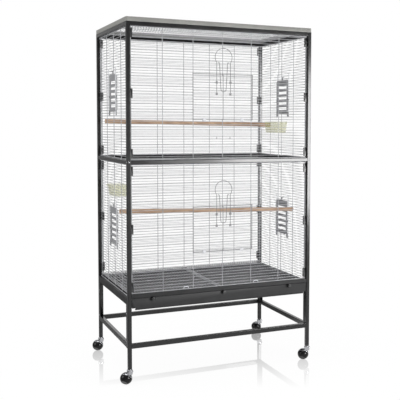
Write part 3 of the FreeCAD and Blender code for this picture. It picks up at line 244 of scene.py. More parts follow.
class WireTrees:
    """Geometry Nodes trees for straight and bent wires, bolt heads and branches."""

    bend_steps = 6
    stud_segments = 14
    stud_rings = 8
    branch_rings = 120
    branch_sides = 20
    sway_scale = 5.0
    knot_scale = 22.0

    def __init__(self) -> None:
        """Build the trees once."""
        self.straight = self._straight()
        self.bent = self._bent()
        self.studs = self._studs()
        self.branch = self._branch()

    @staticmethod
    def _start(name: str, inputs: Sequence[tuple[str, str, object]]) -> tuple[NodeMaker, Sockets]:
        """Start a tree.

        Args:
            name: Tree name.
            inputs: Name, socket kind and default of each input after Geometry, Radius and Material.

        Returns:
            The maker, and the outputs of the tree's input node.
        """
        shared = [("Geometry", "Geometry", None), ("Radius", "Float", MM), ("Material", "Material", None)]
        geometry = [("Geometry", "Geometry")]
        return NodeMaker.group(name, "GeometryNodeTree", [*shared, *inputs], geometry)

    @staticmethod
    def _tube(maker: NodeMaker, given: Sockets, curve: Socket) -> Socket:
        """Give a curve a round section.

        Args:
            maker: Maker of the tree.
            given: The tree's inputs, with Radius and Sides.
            curve: Socket of the curve.

        Returns:
            Socket of the tube's mesh.
        """
        section = {"Resolution": given["Sides"], "Radius": given["Radius"]}
        ring = maker.add("GeometryNodeCurvePrimitiveCircle", section, mode="RADIUS")
        sweep = {"Curve": curve, "Profile Curve": ring.outputs["Curve"], "Fill Caps": True}
        return maker.add("GeometryNodeCurveToMesh", sweep).outputs["Mesh"]

    @staticmethod
    def _close(maker: NodeMaker, given: Sockets, mesh: Socket, keep: bool = False) -> bpy.types.NodeTree:
        """End a tree with Realize Instances, Set Material and the output.

        Args:
            maker: Maker of the tree.
            given: The tree's inputs, with Material.
            mesh: Socket of the geometry.
            keep: True to join the geometry that came in.

        Returns:
            The finished tree.
        """
        real = maker.add("GeometryNodeRealizeInstances", {"Geometry": mesh}).outputs["Geometry"]
        painted = {"Geometry": real, "Material": given["Material"]}
        last = maker.add("GeometryNodeSetMaterial", painted).outputs["Geometry"]
        if keep:
            both = maker.add("GeometryNodeJoinGeometry", {"Geometry": given["Geometry"]})
            maker.feed(both, {"Geometry": last})
            last = both.outputs["Geometry"]
        maker.add("NodeGroupOutput", {"Geometry": last})
        return maker.tree

    def _straight(self) -> bpy.types.NodeTree:
        """Row of equal straight wires at a fixed step."""
        vectors = [(label, "Vector", None) for label in ("Start", "Step", "Run")]
        counts = [("Count", "Int", 1), ("Sides", "Int", ROUND_SIDES)]
        maker, given = self._start("Wire Row", [*counts, *vectors])
        spots = {"Count": given["Count"], "Start Location": given["Start"], "Offset": given["Step"]}
        points = maker.add("GeometryNodeMeshLine", spots, mode="OFFSET", count_mode="TOTAL")
        line = maker.add("GeometryNodeCurvePrimitiveLine", {"End": given["Run"]}, mode="POINTS")
        wire = self._tube(maker, given, line.outputs["Curve"])
        copies = {"Points": points.outputs["Mesh"], "Instance": wire}
        rows = maker.add("GeometryNodeInstanceOnPoints", copies).outputs["Instances"]
        return self._close(maker, given, rows, keep=True)

    def _bent(self) -> bpy.types.NodeTree:
        """Round wire along the edges that come in, with rounded bends."""
        counts = [("Bend Steps", "Int", self.bend_steps), ("Sides", "Int", ROUND_SIDES)]
        maker, given = self._start("Bent Wire", [("Bend", "Float", MM), *counts])
        curve = maker.add("GeometryNodeMeshToCurve", {"Mesh": given["Geometry"]}).outputs["Curve"]
        bends = {"Curve": curve, "Count": given["Bend Steps"], "Radius": given["Bend"], "Limit Radius": True}
        fillet = maker.add("GeometryNodeFilletCurve", bends, mode="POLY").outputs["Curve"]
        return self._close(maker, given, self._tube(maker, given, fillet))

    def _studs(self) -> bpy.types.NodeTree:
        """Domed heads on the points that come in."""
        maker, given = self._start("Stud Heads", [("Dome", "Vector", None)])
        counts = {"Segments": self.stud_segments, "Rings": self.stud_rings}
        ball = maker.add("GeometryNodeMeshUVSphere", {**counts, "Radius": given["Radius"]}).outputs["Mesh"]
        copies = {"Points": given["Geometry"], "Instance": ball, "Scale": given["Dome"]}
        heads = maker.add("GeometryNodeInstanceOnPoints", copies).outputs["Instances"]
        return self._close(maker, given, heads)

    def _branch(self) -> bpy.types.NodeTree:
        """Slightly bent and knotty branch along the edges that come in."""
        levels = [(label, "Float", 0.0) for label in ("Bend", "Knots", "Seed")]
        counts = [("Rings", "Int", self.branch_rings), ("Sides", "Int", self.branch_sides)]
        maker, given = self._start("Branch", [*levels, *counts])
        curve = maker.add("GeometryNodeMeshToCurve", {"Mesh": given["Geometry"]}).outputs["Curve"]
        fine = maker.add("GeometryNodeResampleCurve", {"Curve": curve, "Count": given["Rings"]})
        wander = {"Scale": self.sway_scale, "W": given["Seed"]}
        sway = maker.add("ShaderNodeTexNoise", wander, noise_dimensions="4D")
        centred = maker.vector("SUBTRACT", sway.outputs["Color"], (0.5, 0.5, 0.5))
        across = maker.vector("MULTIPLY", centred.outputs[0], NORTH + UP)
        reach = maker.vector("SCALE", across.outputs[0])
        maker.feed(reach, {"Scale": given["Bend"]})
        bowed = {"Geometry": fine.outputs["Curve"], "Offset": reach.outputs[0]}
        moved = maker.add("GeometryNodeSetPosition", bowed)
        spots = {"Scale": self.knot_scale, "W": given["Seed"]}
        lumps = maker.add("ShaderNodeTexNoise", spots, noise_dimensions="4D")
        waist = maker.math("MULTIPLY", lumps.outputs["Fac"], given["Knots"])
        swell = {"Curve": moved.outputs["Geometry"], "Radius": maker.math("SUBTRACT", 1.0, waist)}
        thick = maker.add("GeometryNodeSetCurveRadius", swell).outputs["Curve"]
        return self._close(maker, given, self._tube(maker, given, thick))


class SurfaceGroups:
    """Shader node groups that several finishes share."""

    patch_span = (0.35, 0.65)
    patch_detail = 4.0
    grain_detail = 2.0
    dust_tone = (0.6, 0.58, 0.54, 1)
    dust_slope = (0.5, 1.0)
    dust_scale = 45.0
    dust_detail = 6.0

    def __init__(self) -> None:
        """Build the groups once."""
        self.mottle = self._mottle()
        self.dust = self._dust()

    def _mottle(self) -> bpy.types.NodeTree:
        """Fine uneven coat: a colour between two tones, a roughness and a height."""
        inputs = [
            ("Tone A", "Color", (0.1, 0.1, 0.1, 1)),
            ("Tone B", "Color", (0.2, 0.2, 0.2, 1)),
            ("Rough A", "Float", 0.3),
            ("Rough B", "Float", 0.5),
            ("Patch Scale", "Float", 20.0),
            ("Grain Scale", "Float", 600.0),
        ]
        outputs = [("Color", "Color"), ("Roughness", "Float"), ("Height", "Float")]
        maker, given = NodeMaker.group("Coat Mottle", "ShaderNodeTree", inputs, outputs)
        place = maker.place()
        patch = maker.noise(place, given["Patch Scale"], self.patch_detail)
        spread = maker.remap(patch, self.patch_span)
        results = {
            "Color": maker.blend(spread, given["Tone A"], given["Tone B"]),
            "Roughness": maker.remap(spread, to=(given["Rough A"], given["Rough B"])),
            "Height": maker.noise(place, given["Grain Scale"], self.grain_detail),
        }
        maker.add("NodeGroupOutput", results)
        return maker.tree

    def _dust(self) -> bpy.types.NodeTree:
        """Pale dust on faces that look up."""
        inputs = [
            ("Color", "Color", (0.1, 0.1, 0.1, 1)),
            ("Dust Tone", "Color", self.dust_tone),
            ("Amount", "Float", 0.1),
        ]
        maker, given = NodeMaker.group("Settled Dust", "ShaderNodeTree", inputs, [("Color", "Color")])
        facing = maker.add("ShaderNodeNewGeometry").outputs["Normal"]
        parts = maker.add("ShaderNodeSeparateXYZ", {"Vector": facing})
        upward = maker.remap(parts.outputs["Z"], self.dust_slope)
        specks = maker.noise(maker.place(), self.dust_scale, self.dust_detail)
        share = maker.math("MULTIPLY", maker.math("MULTIPLY", upward, specks), given["Amount"])
        maker.add("NodeGroupOutput", {"Color": maker.blend(share, given["Color"], given["Dust Tone"])})
        return maker.tree


def start_material(name: str) -> tuple[bpy.types.Material, NodeMaker, bpy.types.Node]:
    """Start a material.

    Args:
        name: Material name.

    Returns:
        The material, the maker of its tree and its Principled node.
    """
    made = bpy.data.materials.new(name)
    made.use_nodes = True
    return made, NodeMaker(made.node_tree), made.node_tree.nodes["Principled BSDF"]


@dataclass(frozen=True)
class Finish:
    """Coated or moulded surface with a little unevenness."""

    name: str
    tone_a: Triple
    tone_b: Triple
    rough: Span = (0.35, 0.5)
    metallic: float = 0.0
    patch_scale: float = 18.0
    grain_scale: float = 700.0
    bump: float = 0.05
    bump_depth: float = 0.2 * MM
    dust: float = 0.0
    alpha: float = 1.0
    ior: float = 1.5

    def material(self, groups: SurfaceGroups) -> bpy.types.Material:
        """Build the material.

        Args:
            groups: Shared shader groups.

        Returns:
            The new material.
        """
        made, maker, shader = start_material(self.name)
        uneven = {
            "Tone A": (*self.tone_a, 1),
            "Tone B": (*self.tone_b, 1),
            "Rough A": self.rough[0],
            "Rough B": self.rough[1],
            "Patch Scale": self.patch_scale,
            "Grain Scale": self.grain_scale,
        }
        mottle = maker.add("ShaderNodeGroup", uneven, node_tree=groups.mottle).outputs
        color = mottle["Color"]
        if self.dust:
            dusty = {"Color": color, "Amount": self.dust}
            color = maker.add("ShaderNodeGroup", dusty, node_tree=groups.dust).outputs["Color"]
        relief = {"Strength": self.bump, "Distance": self.bump_depth, "Height": mottle["Height"]}
        surface = {
            "Base Color": color,
            "Metallic": self.metallic,
            "Roughness": mottle["Roughness"],
            "IOR": self.ior,
            "Alpha": self.alpha,
            "Normal": maker.add("ShaderNodeBump", relief).outputs["Normal"],
        }
        maker.feed(shader, surface)
        return made


@dataclass(frozen=True)
class WoodFinish:
    """Bare branch with grain along X and darker knots."""

    name: str = "Bare Perch Wood"
    pale: Triple = (0.46, 0.315, 0.212)
    dark: Triple = (0.272, 0.157, 0.093)
    rough: float = 0.7
    patch_shade: float = 0.72
    patch_scale: float = 24.0
    grain_stretch: Triple = (14.0, 260.0, 260.0)
    grain_detail: float = 5.0
    grain_span: Span = (0.45, 0.75)
    bump: float = 0.4
    bump_depth: float = 0.5 * MM

    def material(self, groups: SurfaceGroups) -> bpy.types.Material:
        """Build the material.

        Args:
            groups: Shared shader groups.

        Returns:
            The new material.
        """
        made, maker, shader = start_material(self.name)
        stretch = {"Vector": maker.place(), "Scale": self.grain_stretch}
        along = maker.add("ShaderNodeMapping", stretch).outputs["Vector"]
        grain = maker.noise(along, 1.0, self.grain_detail)
        shaded = tuple(self.patch_shade * level for level in self.pale)
        patches = {"Tone A": (*self.pale, 1), "Tone B": (*shaded, 1), "Patch Scale": self.patch_scale}
        mottle = maker.add("ShaderNodeGroup", patches, node_tree=groups.mottle).outputs
        streaks = maker.remap(grain, self.grain_span)
        relief = {"Strength": self.bump, "Distance": self.bump_depth, "Height": grain}
        surface = {
            "Base Color": maker.blend(streaks, mottle["Color"], (*self.dark, 1)),
            "Roughness": self.rough,
            "Normal": maker.add("ShaderNodeBump", relief).outputs["Normal"],
        }
        maker.feed(shader, surface)
        return made


def grey(low: float, high: float) -> tuple[Triple, Triple]:
    """Darker and lighter cool grey, a touch bluer than neutral."""
    return tuple(low * part for part in COOL_TINT), tuple(high * part for part in COOL_TINT)


class Finishes:
    """Materials of the cage by slot or coat."""

    wire_patch = 40.0

    def __init__(self) -> None:
        """Build every material."""
        groups = SurfaceGroups()
        fine = self.wire_patch
        bowl_tones = (0.46, 0.46, 0.19), (0.51, 0.51, 0.23)
        roof_tones = (0.178, 0.178, 0.168), (0.208, 0.208, 0.194)
        finishes: dict[Look, Finish | WoodFinish] = {
            Slot.FRAME: Finish("Anthracite Paint", *grey(0.007, 0.010), rough=(0.14, 0.18), ior=1.45),
            Slot.ROOF: Finish("Grey Roof Paint", *roof_tones, rough=(0.4, 0.5)),
            Slot.WIRE: Finish("Grey Wire Coat", *grey(0.30, 0.36), rough=(0.18, 0.28), patch_scale=fine),
            Slot.TRAY: Finish("Grey Tray Coat", *grey(0.03, 0.045), rough=(0.4, 0.55), dust=0.08),
            Slot.BLACK: Finish("Black Moulded Plastic", *grey(0.012, 0.02), rough=(0.25, 0.35)),
            Slot.LIFT: Finish("Grey Lift Door Plastic", *grey(0.19, 0.23), rough=(0.4, 0.5)),
            Slot.BOWL: Finish("Pale Bowl Plastic", *bowl_tones, rough=(0.2, 0.3), alpha=0.22, bump=0.02),
            Slot.METAL: Finish(
                "Castor Plating", *grey(0.37, 0.45), rough=(0.08, 0.14), metallic=1.0, bump=0.02
            ),
            Slot.WHEEL: Finish(
                "Black Wheel Plastic", *grey(0.004, 0.007), rough=(0.14, 0.22), bump=0.02, ior=1.3
            ),
            Slot.WOOD: WoodFinish(),
            # Darker copy of the wire coat for the door rims, tongues, keepers, latch bails and hooks:
            # painted shade that keeps them dark where the lamps light them.
            Coat.LATCH: Finish("Wire With Painted Shade", *grey(0.12, 0.16), rough=(0.4, 0.5), patch_scale=fine),
            # Lighter copy of the wire coat for the hinge sleeves and lift door guides: painted highlight
            # that keeps the shaded sleeves pale.
            Coat.PLATED: Finish("Pale Wire With Painted Highlight", *grey(0.50, 0.58), rough=(0.3, 0.4), patch_scale=fine),
            Coat.SATIN: Finish("Satin Drawer Paint", *grey(0.013, 0.017), rough=(0.35, 0.45), ior=1.3),
            # Near-white copy of the wire coat for the grille handles and centre bar: painted highlight that
            # stands in for the white backdrop's reflection.
            Coat.BRIGHT: Finish(
                "White Wire With Painted Highlight", *grey(0.78, 0.86), rough=(0.15, 0.25), patch_scale=fine
            ),
        }
        self.materials = {look: finish.material(groups) for look, finish in finishes.items()}

    def __getitem__(self, look: Look) -> bpy.types.Material:
        """Material of a slot or coat."""
        return self.materials[look]


def placed(name: str, data: bpy.types.ID) -> bpy.types.Object:
    """Put new data into the scene.

    Args:
        name: Name of the object.
        data: Mesh, camera or lamp.

    Returns:
        The new object.
    """
    made = bpy.data.objects.new(name, data)
    bpy.context.scene.collection.objects.link(made)
    return made


def taken_off(holder: bpy.types.Object) -> bpy.types.Mesh:
    """Take a plain mesh off an object with modifiers, and drop the object.

    Args:
        holder: Object with modifiers.

    Returns:
        The mesh with the modifiers applied.
    """
    bpy.context.view_layer.update()
    graph = bpy.context.evaluated_depsgraph_get()
    mesh = bpy.data.meshes.new_from_object(holder.evaluated_get(graph), depsgraph=graph)
    bpy.data.objects.remove(holder)
    return mesh


def mesh_from(work: bmesh.types.BMesh, name: str) -> bpy.types.Mesh:
    """Turn a working mesh into a mesh.

    Args:
        work: Working mesh, which is freed.
        name: Name of the mesh.

    Returns:
        The mesh.
    """
    mesh = bpy.data.meshes.new(name)
    work.to_mesh(mesh)
    work.free()
    return mesh


def path_mesh(paths: Sequence[Path]) -> bpy.types.Mesh:
    """Mesh of edges along paths.

    Args:
        paths: Points of each path.

    Returns:
        The mesh.
    """
    points: Path = []
    edges = []
    for path in paths:
        first = len(points)
        points += path
        edges += [(first + k, first + k + 1) for k in range(len(path) - 1)]
    mesh = bpy.data.meshes.new("paths")
    mesh.from_pydata(points, edges, [])
    return mesh


def material_of(mesh: bpy.types.Mesh) -> bpy.types.Material:
    """Material of a mesh, past the empty slot that Realize Instances leaves."""
    return next(material for material in mesh.materials if material)


def joined(meshes: Sequence[bpy.types.Mesh]) -> bpy.types.Mesh:
    """One mesh from several, each of which keeps its material.

    Args:
        meshes: Meshes to join, with one material each.

    Returns:
        The joined mesh.
    """
    materials = list(dict.fromkeys(material_of(mesh) for mesh in meshes))
    work = bmesh.new()
    for mesh in meshes:
        index = materials.index(material_of(mesh))
        mesh.polygons.foreach_set("material_index", [index] * len(mesh.polygons))
        work.from_mesh(mesh)
    result = mesh_from(work, "joined")
    for material in materials:
        result.materials.append(material)
    return result


def block(low: Vector, high: Vector, bevel: float, material: bpy.types.Material) -> bpy.types.Mesh:
    """Box with rounded edges.

    Args:
        low: Lowest corner.
        high: Highest corner.
        bevel: Width of the rounding.
        material: Material of the box.

    Returns:
        The mesh.
    """
    work = bmesh.new()
    bmesh.ops.create_cube(work, size=1.0)
    for vert in work.verts:
        vert.co = Vector(low[k] + (vert.co[k] + 0.5) * (high[k] - low[k]) for k in range(3))
    bmesh.ops.bevel(work, geom=work.edges, offset=bevel, segments=2, affect="EDGES", profile=0.5)
    mesh = mesh_from(work, "block")
    mesh.materials.append(material)
    return mesh


def arc(middle: Vector, radius: float, first: float, last: float, steps: int) -> Path:
    """Points of an arc in a plane of constant Y.

    Args:
        middle: Middle of the arc.
        radius: Radius.
        first: Angle of the first point from +X, in degrees.
        last: Angle of the last point.
        steps: Number of steps.

    Returns:
        The points.
    """
    angles = [math.radians(first + (last - first) * k / steps) for k in range(steps + 1)]
    return [middle + Vector((radius * math.cos(a), 0, radius * math.sin(a))) for a in angles]


def node_box(node: str) -> tuple[Vector, Vector]:
    """Lowest and highest corner of a CAD node."""
    low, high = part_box(node)
    return Vector(low), Vector(high)


@dataclass
class Row:
    """Equal straight wires at a fixed step."""

    start: Vector
    run: Vector
    radius: float
    count: int = 1
    step: Vector = field(default_factory=Vector)


class Workshop:
    """Turns rows, paths and CAD nodes into finished pieces."""

    def __init__(self) -> None:
        """Build the shared trees and materials."""
        self.trees = WireTrees()
        self.finishes = Finishes()

    def finish_piece(
        self, mesh: bpy.types.Mesh, name: str, body: str, nodes: Iterable[str] = ()
    ) -> None:
        """Put a finished mesh on its body.

        Args:
            mesh: Mesh in the row frame.
            name: Name of the piece.
            body: CAD body that carries it.
            nodes: CAD nodes that it stands for.
        """
        mesh.shade_smooth()
        mesh.set_sharp_from_angle(angle=SMOOTH_ANGLE)
        mesh = self.flat_shaded(mesh)
        mesh.name = name
        piece = placed(name, mesh)
        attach(piece, body)
        if nodes:
            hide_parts(*nodes)
        log.info("%s: %d faces on %s", name, len(mesh.polygons), body)

    @staticmethod
    def flat_shaded(source: bpy.types.Mesh) -> bpy.types.Mesh:
        """Keep broad faces flat beside their small roundings.

        Args:
            source: Smooth mesh with its sharp edges marked.

        Returns:
            Copy whose normals follow the larger faces.
        """
        holder = placed("shading", source)
        normals = holder.modifiers.new("weighted_normals", "WEIGHTED_NORMAL")
        normals.keep_sharp = True
        return taken_off(holder)

    @staticmethod
    def grow(
        source: bpy.types.Mesh, stages: Sequence[tuple[bpy.types.NodeTree, dict[str, object]]]
    ) -> bpy.types.Mesh:
        """Run geometry trees over a mesh.

        Args:
            source: Mesh that goes in.
            stages: Trees with their input values by name.

        Returns:
            Plain mesh that comes out.
        """
        holder = placed("growing", source)
        for tree, values in stages:
            stage = holder.modifiers.new(tree.name, "NODES")
            stage.node_group = tree
            items = [item for item in tree.interface.items_tree if item.in_out == "INPUT"]
            sockets = {item.name: item.identifier for item in items}
            for label, value in values.items():
                stage[sockets[label]] = value
        return taken_off(holder)

    def rows(self, rows: Sequence[Row], look: Look) -> bpy.types.Mesh:
        """Mesh of several rows of straight wires.

        Args:
            rows: Rows to make.
            look: Slot or coat whose material they take.

        Returns:
            The mesh.
        """
        stages = []
        for row in rows:
            values = {
                "Count": row.count,
                "Start": row.start,
                "Step": row.step,
                "Run": row.run,
                "Radius": row.radius,
                "Material": self.finishes[look],
            }
            stages.append((self.trees.straight, values))
        return self.grow(bpy.data.meshes.new("rows"), stages)

    def bent(
        self, paths: Sequence[Path], radius: float, bend: float, look: Look, sides: int = 10
    ) -> bpy.types.Mesh:
        """Mesh of round wires along paths.

        Args:
            paths: Points of each wire.
            radius: Wire radius.
            bend: Radius of each bend.
            look: Slot or coat whose material they take.
            sides: Sides of the round section.

        Returns:
            The mesh.
        """
        values = {"Bend": bend, "Radius": radius, "Sides": sides, "Material": self.finishes[look]}
        return self.grow(path_mesh(paths), [(self.trees.bent, values)])

    def studs(self, points: Sequence[Vector], radius: float, dome: Vector, look: Look) -> bpy.types.Mesh:
        """Mesh of domed heads.

        Args:
            points: Middle of each head's foot.
            radius: Head radius.
            dome: Scale of the head along each axis.
            look: Slot or coat whose material they take.

        Returns:
            The mesh.
        """
        source = bpy.data.meshes.new("studs")
        source.from_pydata(list(points), [], [])
        values = {"Radius": radius, "Dome": dome, "Material": self.finishes[look]}
        return self.grow(source, [(self.trees.studs, values)])

    def smooth_copy(self, node: str, body: str, slot: Slot, coat: Coat | None = None) -> None:
        """Merged and smoothed copy of a CAD node, which it replaces.

        Args:
            node: CAD node.
            body: Body that carries it.
            slot: Material slot of the record.
            coat: Coat, or None for the slot's own finish.
        """
        work = bmesh.new()
        work.from_mesh(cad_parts[node].data)
        bmesh.ops.remove_doubles(work, verts=work.verts, dist=MERGE_DISTANCE)
        mesh = mesh_from(work, node)
        mesh.materials.clear()
        mesh.materials.append(self.finishes[coat or slot])
        self.finish_piece(mesh, "dressed_" + node, body, [node])


@dataclass
class CageShell:
    """Outer faces of the corner posts, and the wire sizes that all panels share."""

    middle_x: float
    middle_y: float
    half_width: float
    half_depth: float
    panel_depth: float = 13 * MM
    wire: float = 2 * MM
    pitch: float = 12 * MM
    upright: float = 3 * MM
    edge: float = 4 * MM

    @classmethod
    def from_frame(cls) -> "CageShell":
        """Read the outer faces from the roof frame."""
        low, high = node_box("roof_frame")
        middle = (low + high) / 2
        half = (high - low) / 2
        return cls(middle.x, middle.y, half.x, half.y)

    def at(self, side: Side, along: float, depth: float, level: float) -> Vector:
        """Point on a side of the cage.

        Args:
            side: Side of the cage.
            along: Distance along it from the middle.
            depth: Distance in from the posts' outer face.
            level: Height above the floor.

        Returns:
            The point in the row frame.
        """
        if side.runs_along_x:
            sign = -1 if side is Side.FRONT else 1
            return Vector((self.middle_x + along, self.middle_y + sign * (self.half_depth - depth), level))
        sign = -1 if side is Side.LEFT else 1
        return Vector((self.middle_x + sign * (self.half_width - depth), self.middle_y + along, level))

    def levels(self, bottom: float, top: float) -> list[float]:
        """Heights of the thin wires between a panel's edges.

        Args:
            bottom: Bottom of the panel.
            top: Top of the panel.

        Returns:
            The heights.
        """
        first = bottom + self.edge / 2
        count = int((top - self.edge - self.wire - first) / self.pitch + TINY)
        return [first + self.pitch * (k + 1) for k in range(count)]


@dataclass
class Opening:
    """Opening in a panel, with or without wires of its own at the sides."""

    half: float
    sill: float
    lintel: float
    jambs: bool


@dataclass
class WirePanel:
    """Welded wire panel on one side of one storey."""

    shell: CageShell
    side: Side
    storey: Storey
    front_bays: int = 6
    side_bays: int = 4
    hinge_radius: float = 1.5 * MM
    hinge_drop: float = 4 * MM
    door_opening: float = 184 * MM
    lift_foot: float = 14.5 * MM
    lift_ear: float = 7 * MM
    lift_overlap: float = 8 * MM
    jamb_overlap: float = 3.5 * MM
    lift_opening: float = 144 * MM

    @property
    def node(self) -> str:
        """CAD node of the panel."""
        return f"panel_{self.side.value}_{self.storey.value}"

    def opening(self, bay: float, levels: Sequence[float]) -> Opening | None:
        """Opening of the panel.

        Args:
            bay: Distance between uprights.
            levels: Heights of the thin wires.

        Returns:
            The opening, or None for a whole panel.
        """
        if self.side is Side.REAR:
            return None
        if self.side is Side.FRONT:
            low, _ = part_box("door_" + self.storey.value)
            sill = low[2] + self.hinge_radius + self.hinge_drop
            wanted = sill + self.door_opening
            half = bay
        else:
            low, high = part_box(f"lift_door_{self.side.value}_{self.storey.value}")
            sill = low[2] + self.lift_foot + self.lift_overlap
            wanted = sill + self.lift_opening
            half = (high[1] - low[1]) / 2 - self.lift_ear - self.jamb_overlap
        lintel = min(levels, key=lambda level: abs(level - wanted))
        return Opening(half, sill, lintel, self.side is not Side.FRONT)

    def rows(self) -> list[Row]:
        """Rows of wires of the panel."""
        shell = self.shell
        low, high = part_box(self.node)
        if self.side.runs_along_x:
            axis, ahead, bays = 0, EAST, self.front_bays
        else:
            axis, ahead, bays = 1, NORTH, self.side_bays
        half = (high[axis] - low[axis]) / 2
        bay = (2 * half - shell.edge) / bays
        bottom, top = low[2], high[2]
        levels = shell.levels(bottom, top)
        hole = self.opening(bay, levels)
        outer = shell.panel_depth - shell.wire / 2
        inner = shell.panel_depth + shell.upright / 2
        rim = shell.panel_depth - shell.edge / 2
        rows = []
        for level in (bottom + shell.edge / 2, top - shell.edge / 2):
            rows.append(Row(shell.at(self.side, -half, rim, level), ahead * 2 * half, shell.edge / 2))
        edge_foot = shell.at(self.side, -half + shell.edge / 2, shell.panel_depth + shell.edge / 2, bottom)
        rows.append(Row(edge_foot, UP * (top - bottom), shell.edge / 2, 2, ahead * (2 * half - shell.edge)))
        for k in range(1, bays):
            along = (k - bays / 2) * bay
            cut = hole is not None and abs(along) < hole.half - shell.upright
            spans = [(bottom, hole.sill), (hole.lintel, top)] if cut else [(bottom, top)]
            for foot, head in spans:
                start = shell.at(self.side, along, inner, foot)
                rows.append(Row(start, UP * (head - foot), shell.upright / 2))
        if hole is not None and hole.jambs:
            foot = shell.at(self.side, -hole.half, inner, hole.sill - shell.wire / 2)
            rise = UP * (hole.lintel - hole.sill + shell.wire)
            rows.append(Row(foot, rise, shell.upright / 2, 2, ahead * 2 * hole.half))
        parted = []
        if hole is not None:
            parted = [level for level in levels if hole.sill < level - TINY < hole.lintel - 2 * TINY]
        whole = [level for level in levels if level not in parted]
        for level in whole:
            rows.append(Row(shell.at(self.side, -half, outer, level), ahead * 2 * half, shell.wire / 2))
        if parted:
            length = half - hole.half + shell.upright / 2
            for start in (-half, hole.half - shell.upright / 2):
                first = shell.at(self.side, start, outer, parted[0])
                rows.append(Row(first, ahead * length, shell.wire / 2, len(parted), UP * shell.pitch))
        return rows

    def build(self, shop: Workshop) -> None:
        """Make the panel's piece.

        Args:
            shop: Workshop that makes it.
        """
        mesh = shop.rows(self.rows(), Slot.WIRE)
        name = f"wires_{self.side.value}_{self.storey.value}"
        shop.finish_piece(mesh, name, "frame", [self.node])


@dataclass
class FlatGrille:
    """Level grille of the roof or the floor, with thin wires along Y."""

    shell: CageShell
    node: str
    body: str
    bars: int
    handle_x: float | None = None
    handle_width: float = 24 * MM
    handle_bend: float = 5 * MM

    def rows(self) -> list[Row]:
        """Rows of wires of the grille."""
        shell = self.shell
        low, high = node_box(self.node)
        edge = shell.edge
        length_x = high.x - low.x
        length_y = high.y - low.y
        rim = low.z + edge / 2
        top = low.z + edge
        across = Vector((low.x, low.y + edge / 2, rim))
        along = Vector((low.x + edge / 2, low.y, rim))
        bar_step = length_y / (self.bars + 1)
        bar = Vector((low.x + edge / 2, low.y + bar_step, top - shell.upright / 2))
        count = int((length_x - edge) / shell.pitch)
        first = (low.x + high.x) / 2 - (count - 1) * shell.pitch / 2
        wire = Vector((first, low.y, top + shell.wire / 2))
        return [
            Row(across, EAST * length_x, edge / 2, 2, NORTH * (length_y - edge)),
            Row(along, NORTH * length_y, edge / 2, 2, EAST * (length_x - edge)),
            Row(bar, EAST * (length_x - edge), shell.upright / 2, self.bars, NORTH * bar_step),
            Row(wire, NORTH * length_y, shell.wire / 2, count, EAST * shell.pitch),
        ]

    def handle(self) -> Path:
        """Points of the lifting loop at the front."""
        low, high = node_box(self.node)
        upright = self.shell.upright
        left = self.shell.middle_x + self.handle_x - self.handle_width / 2 + upright / 2
        right = left + self.handle_width - upright
        foot = low.z + self.shell.edge
        head = high.z - upright / 2
        corners = [(left, foot), (left, head), (right, head), (right, foot)]
        return [Vector((x, low.y + self.shell.edge / 2, z)) for x, z in corners]

    def build(self, shop: Workshop) -> None:
        """Make the grille's piece.

        Args:
            shop: Workshop that makes it.
        """
        meshes = [shop.rows(self.rows(), Slot.WIRE)]
        if self.handle_x is not None:
            radius = self.shell.upright / 2
            # The handle takes the near-white copy of the wire coat, with painted highlight.
            meshes.append(shop.bent([self.handle()], radius, self.handle_bend, Coat.BRIGHT))
        shop.finish_piece(joined(meshes), "wires_" + self.node, self.body, [self.node])


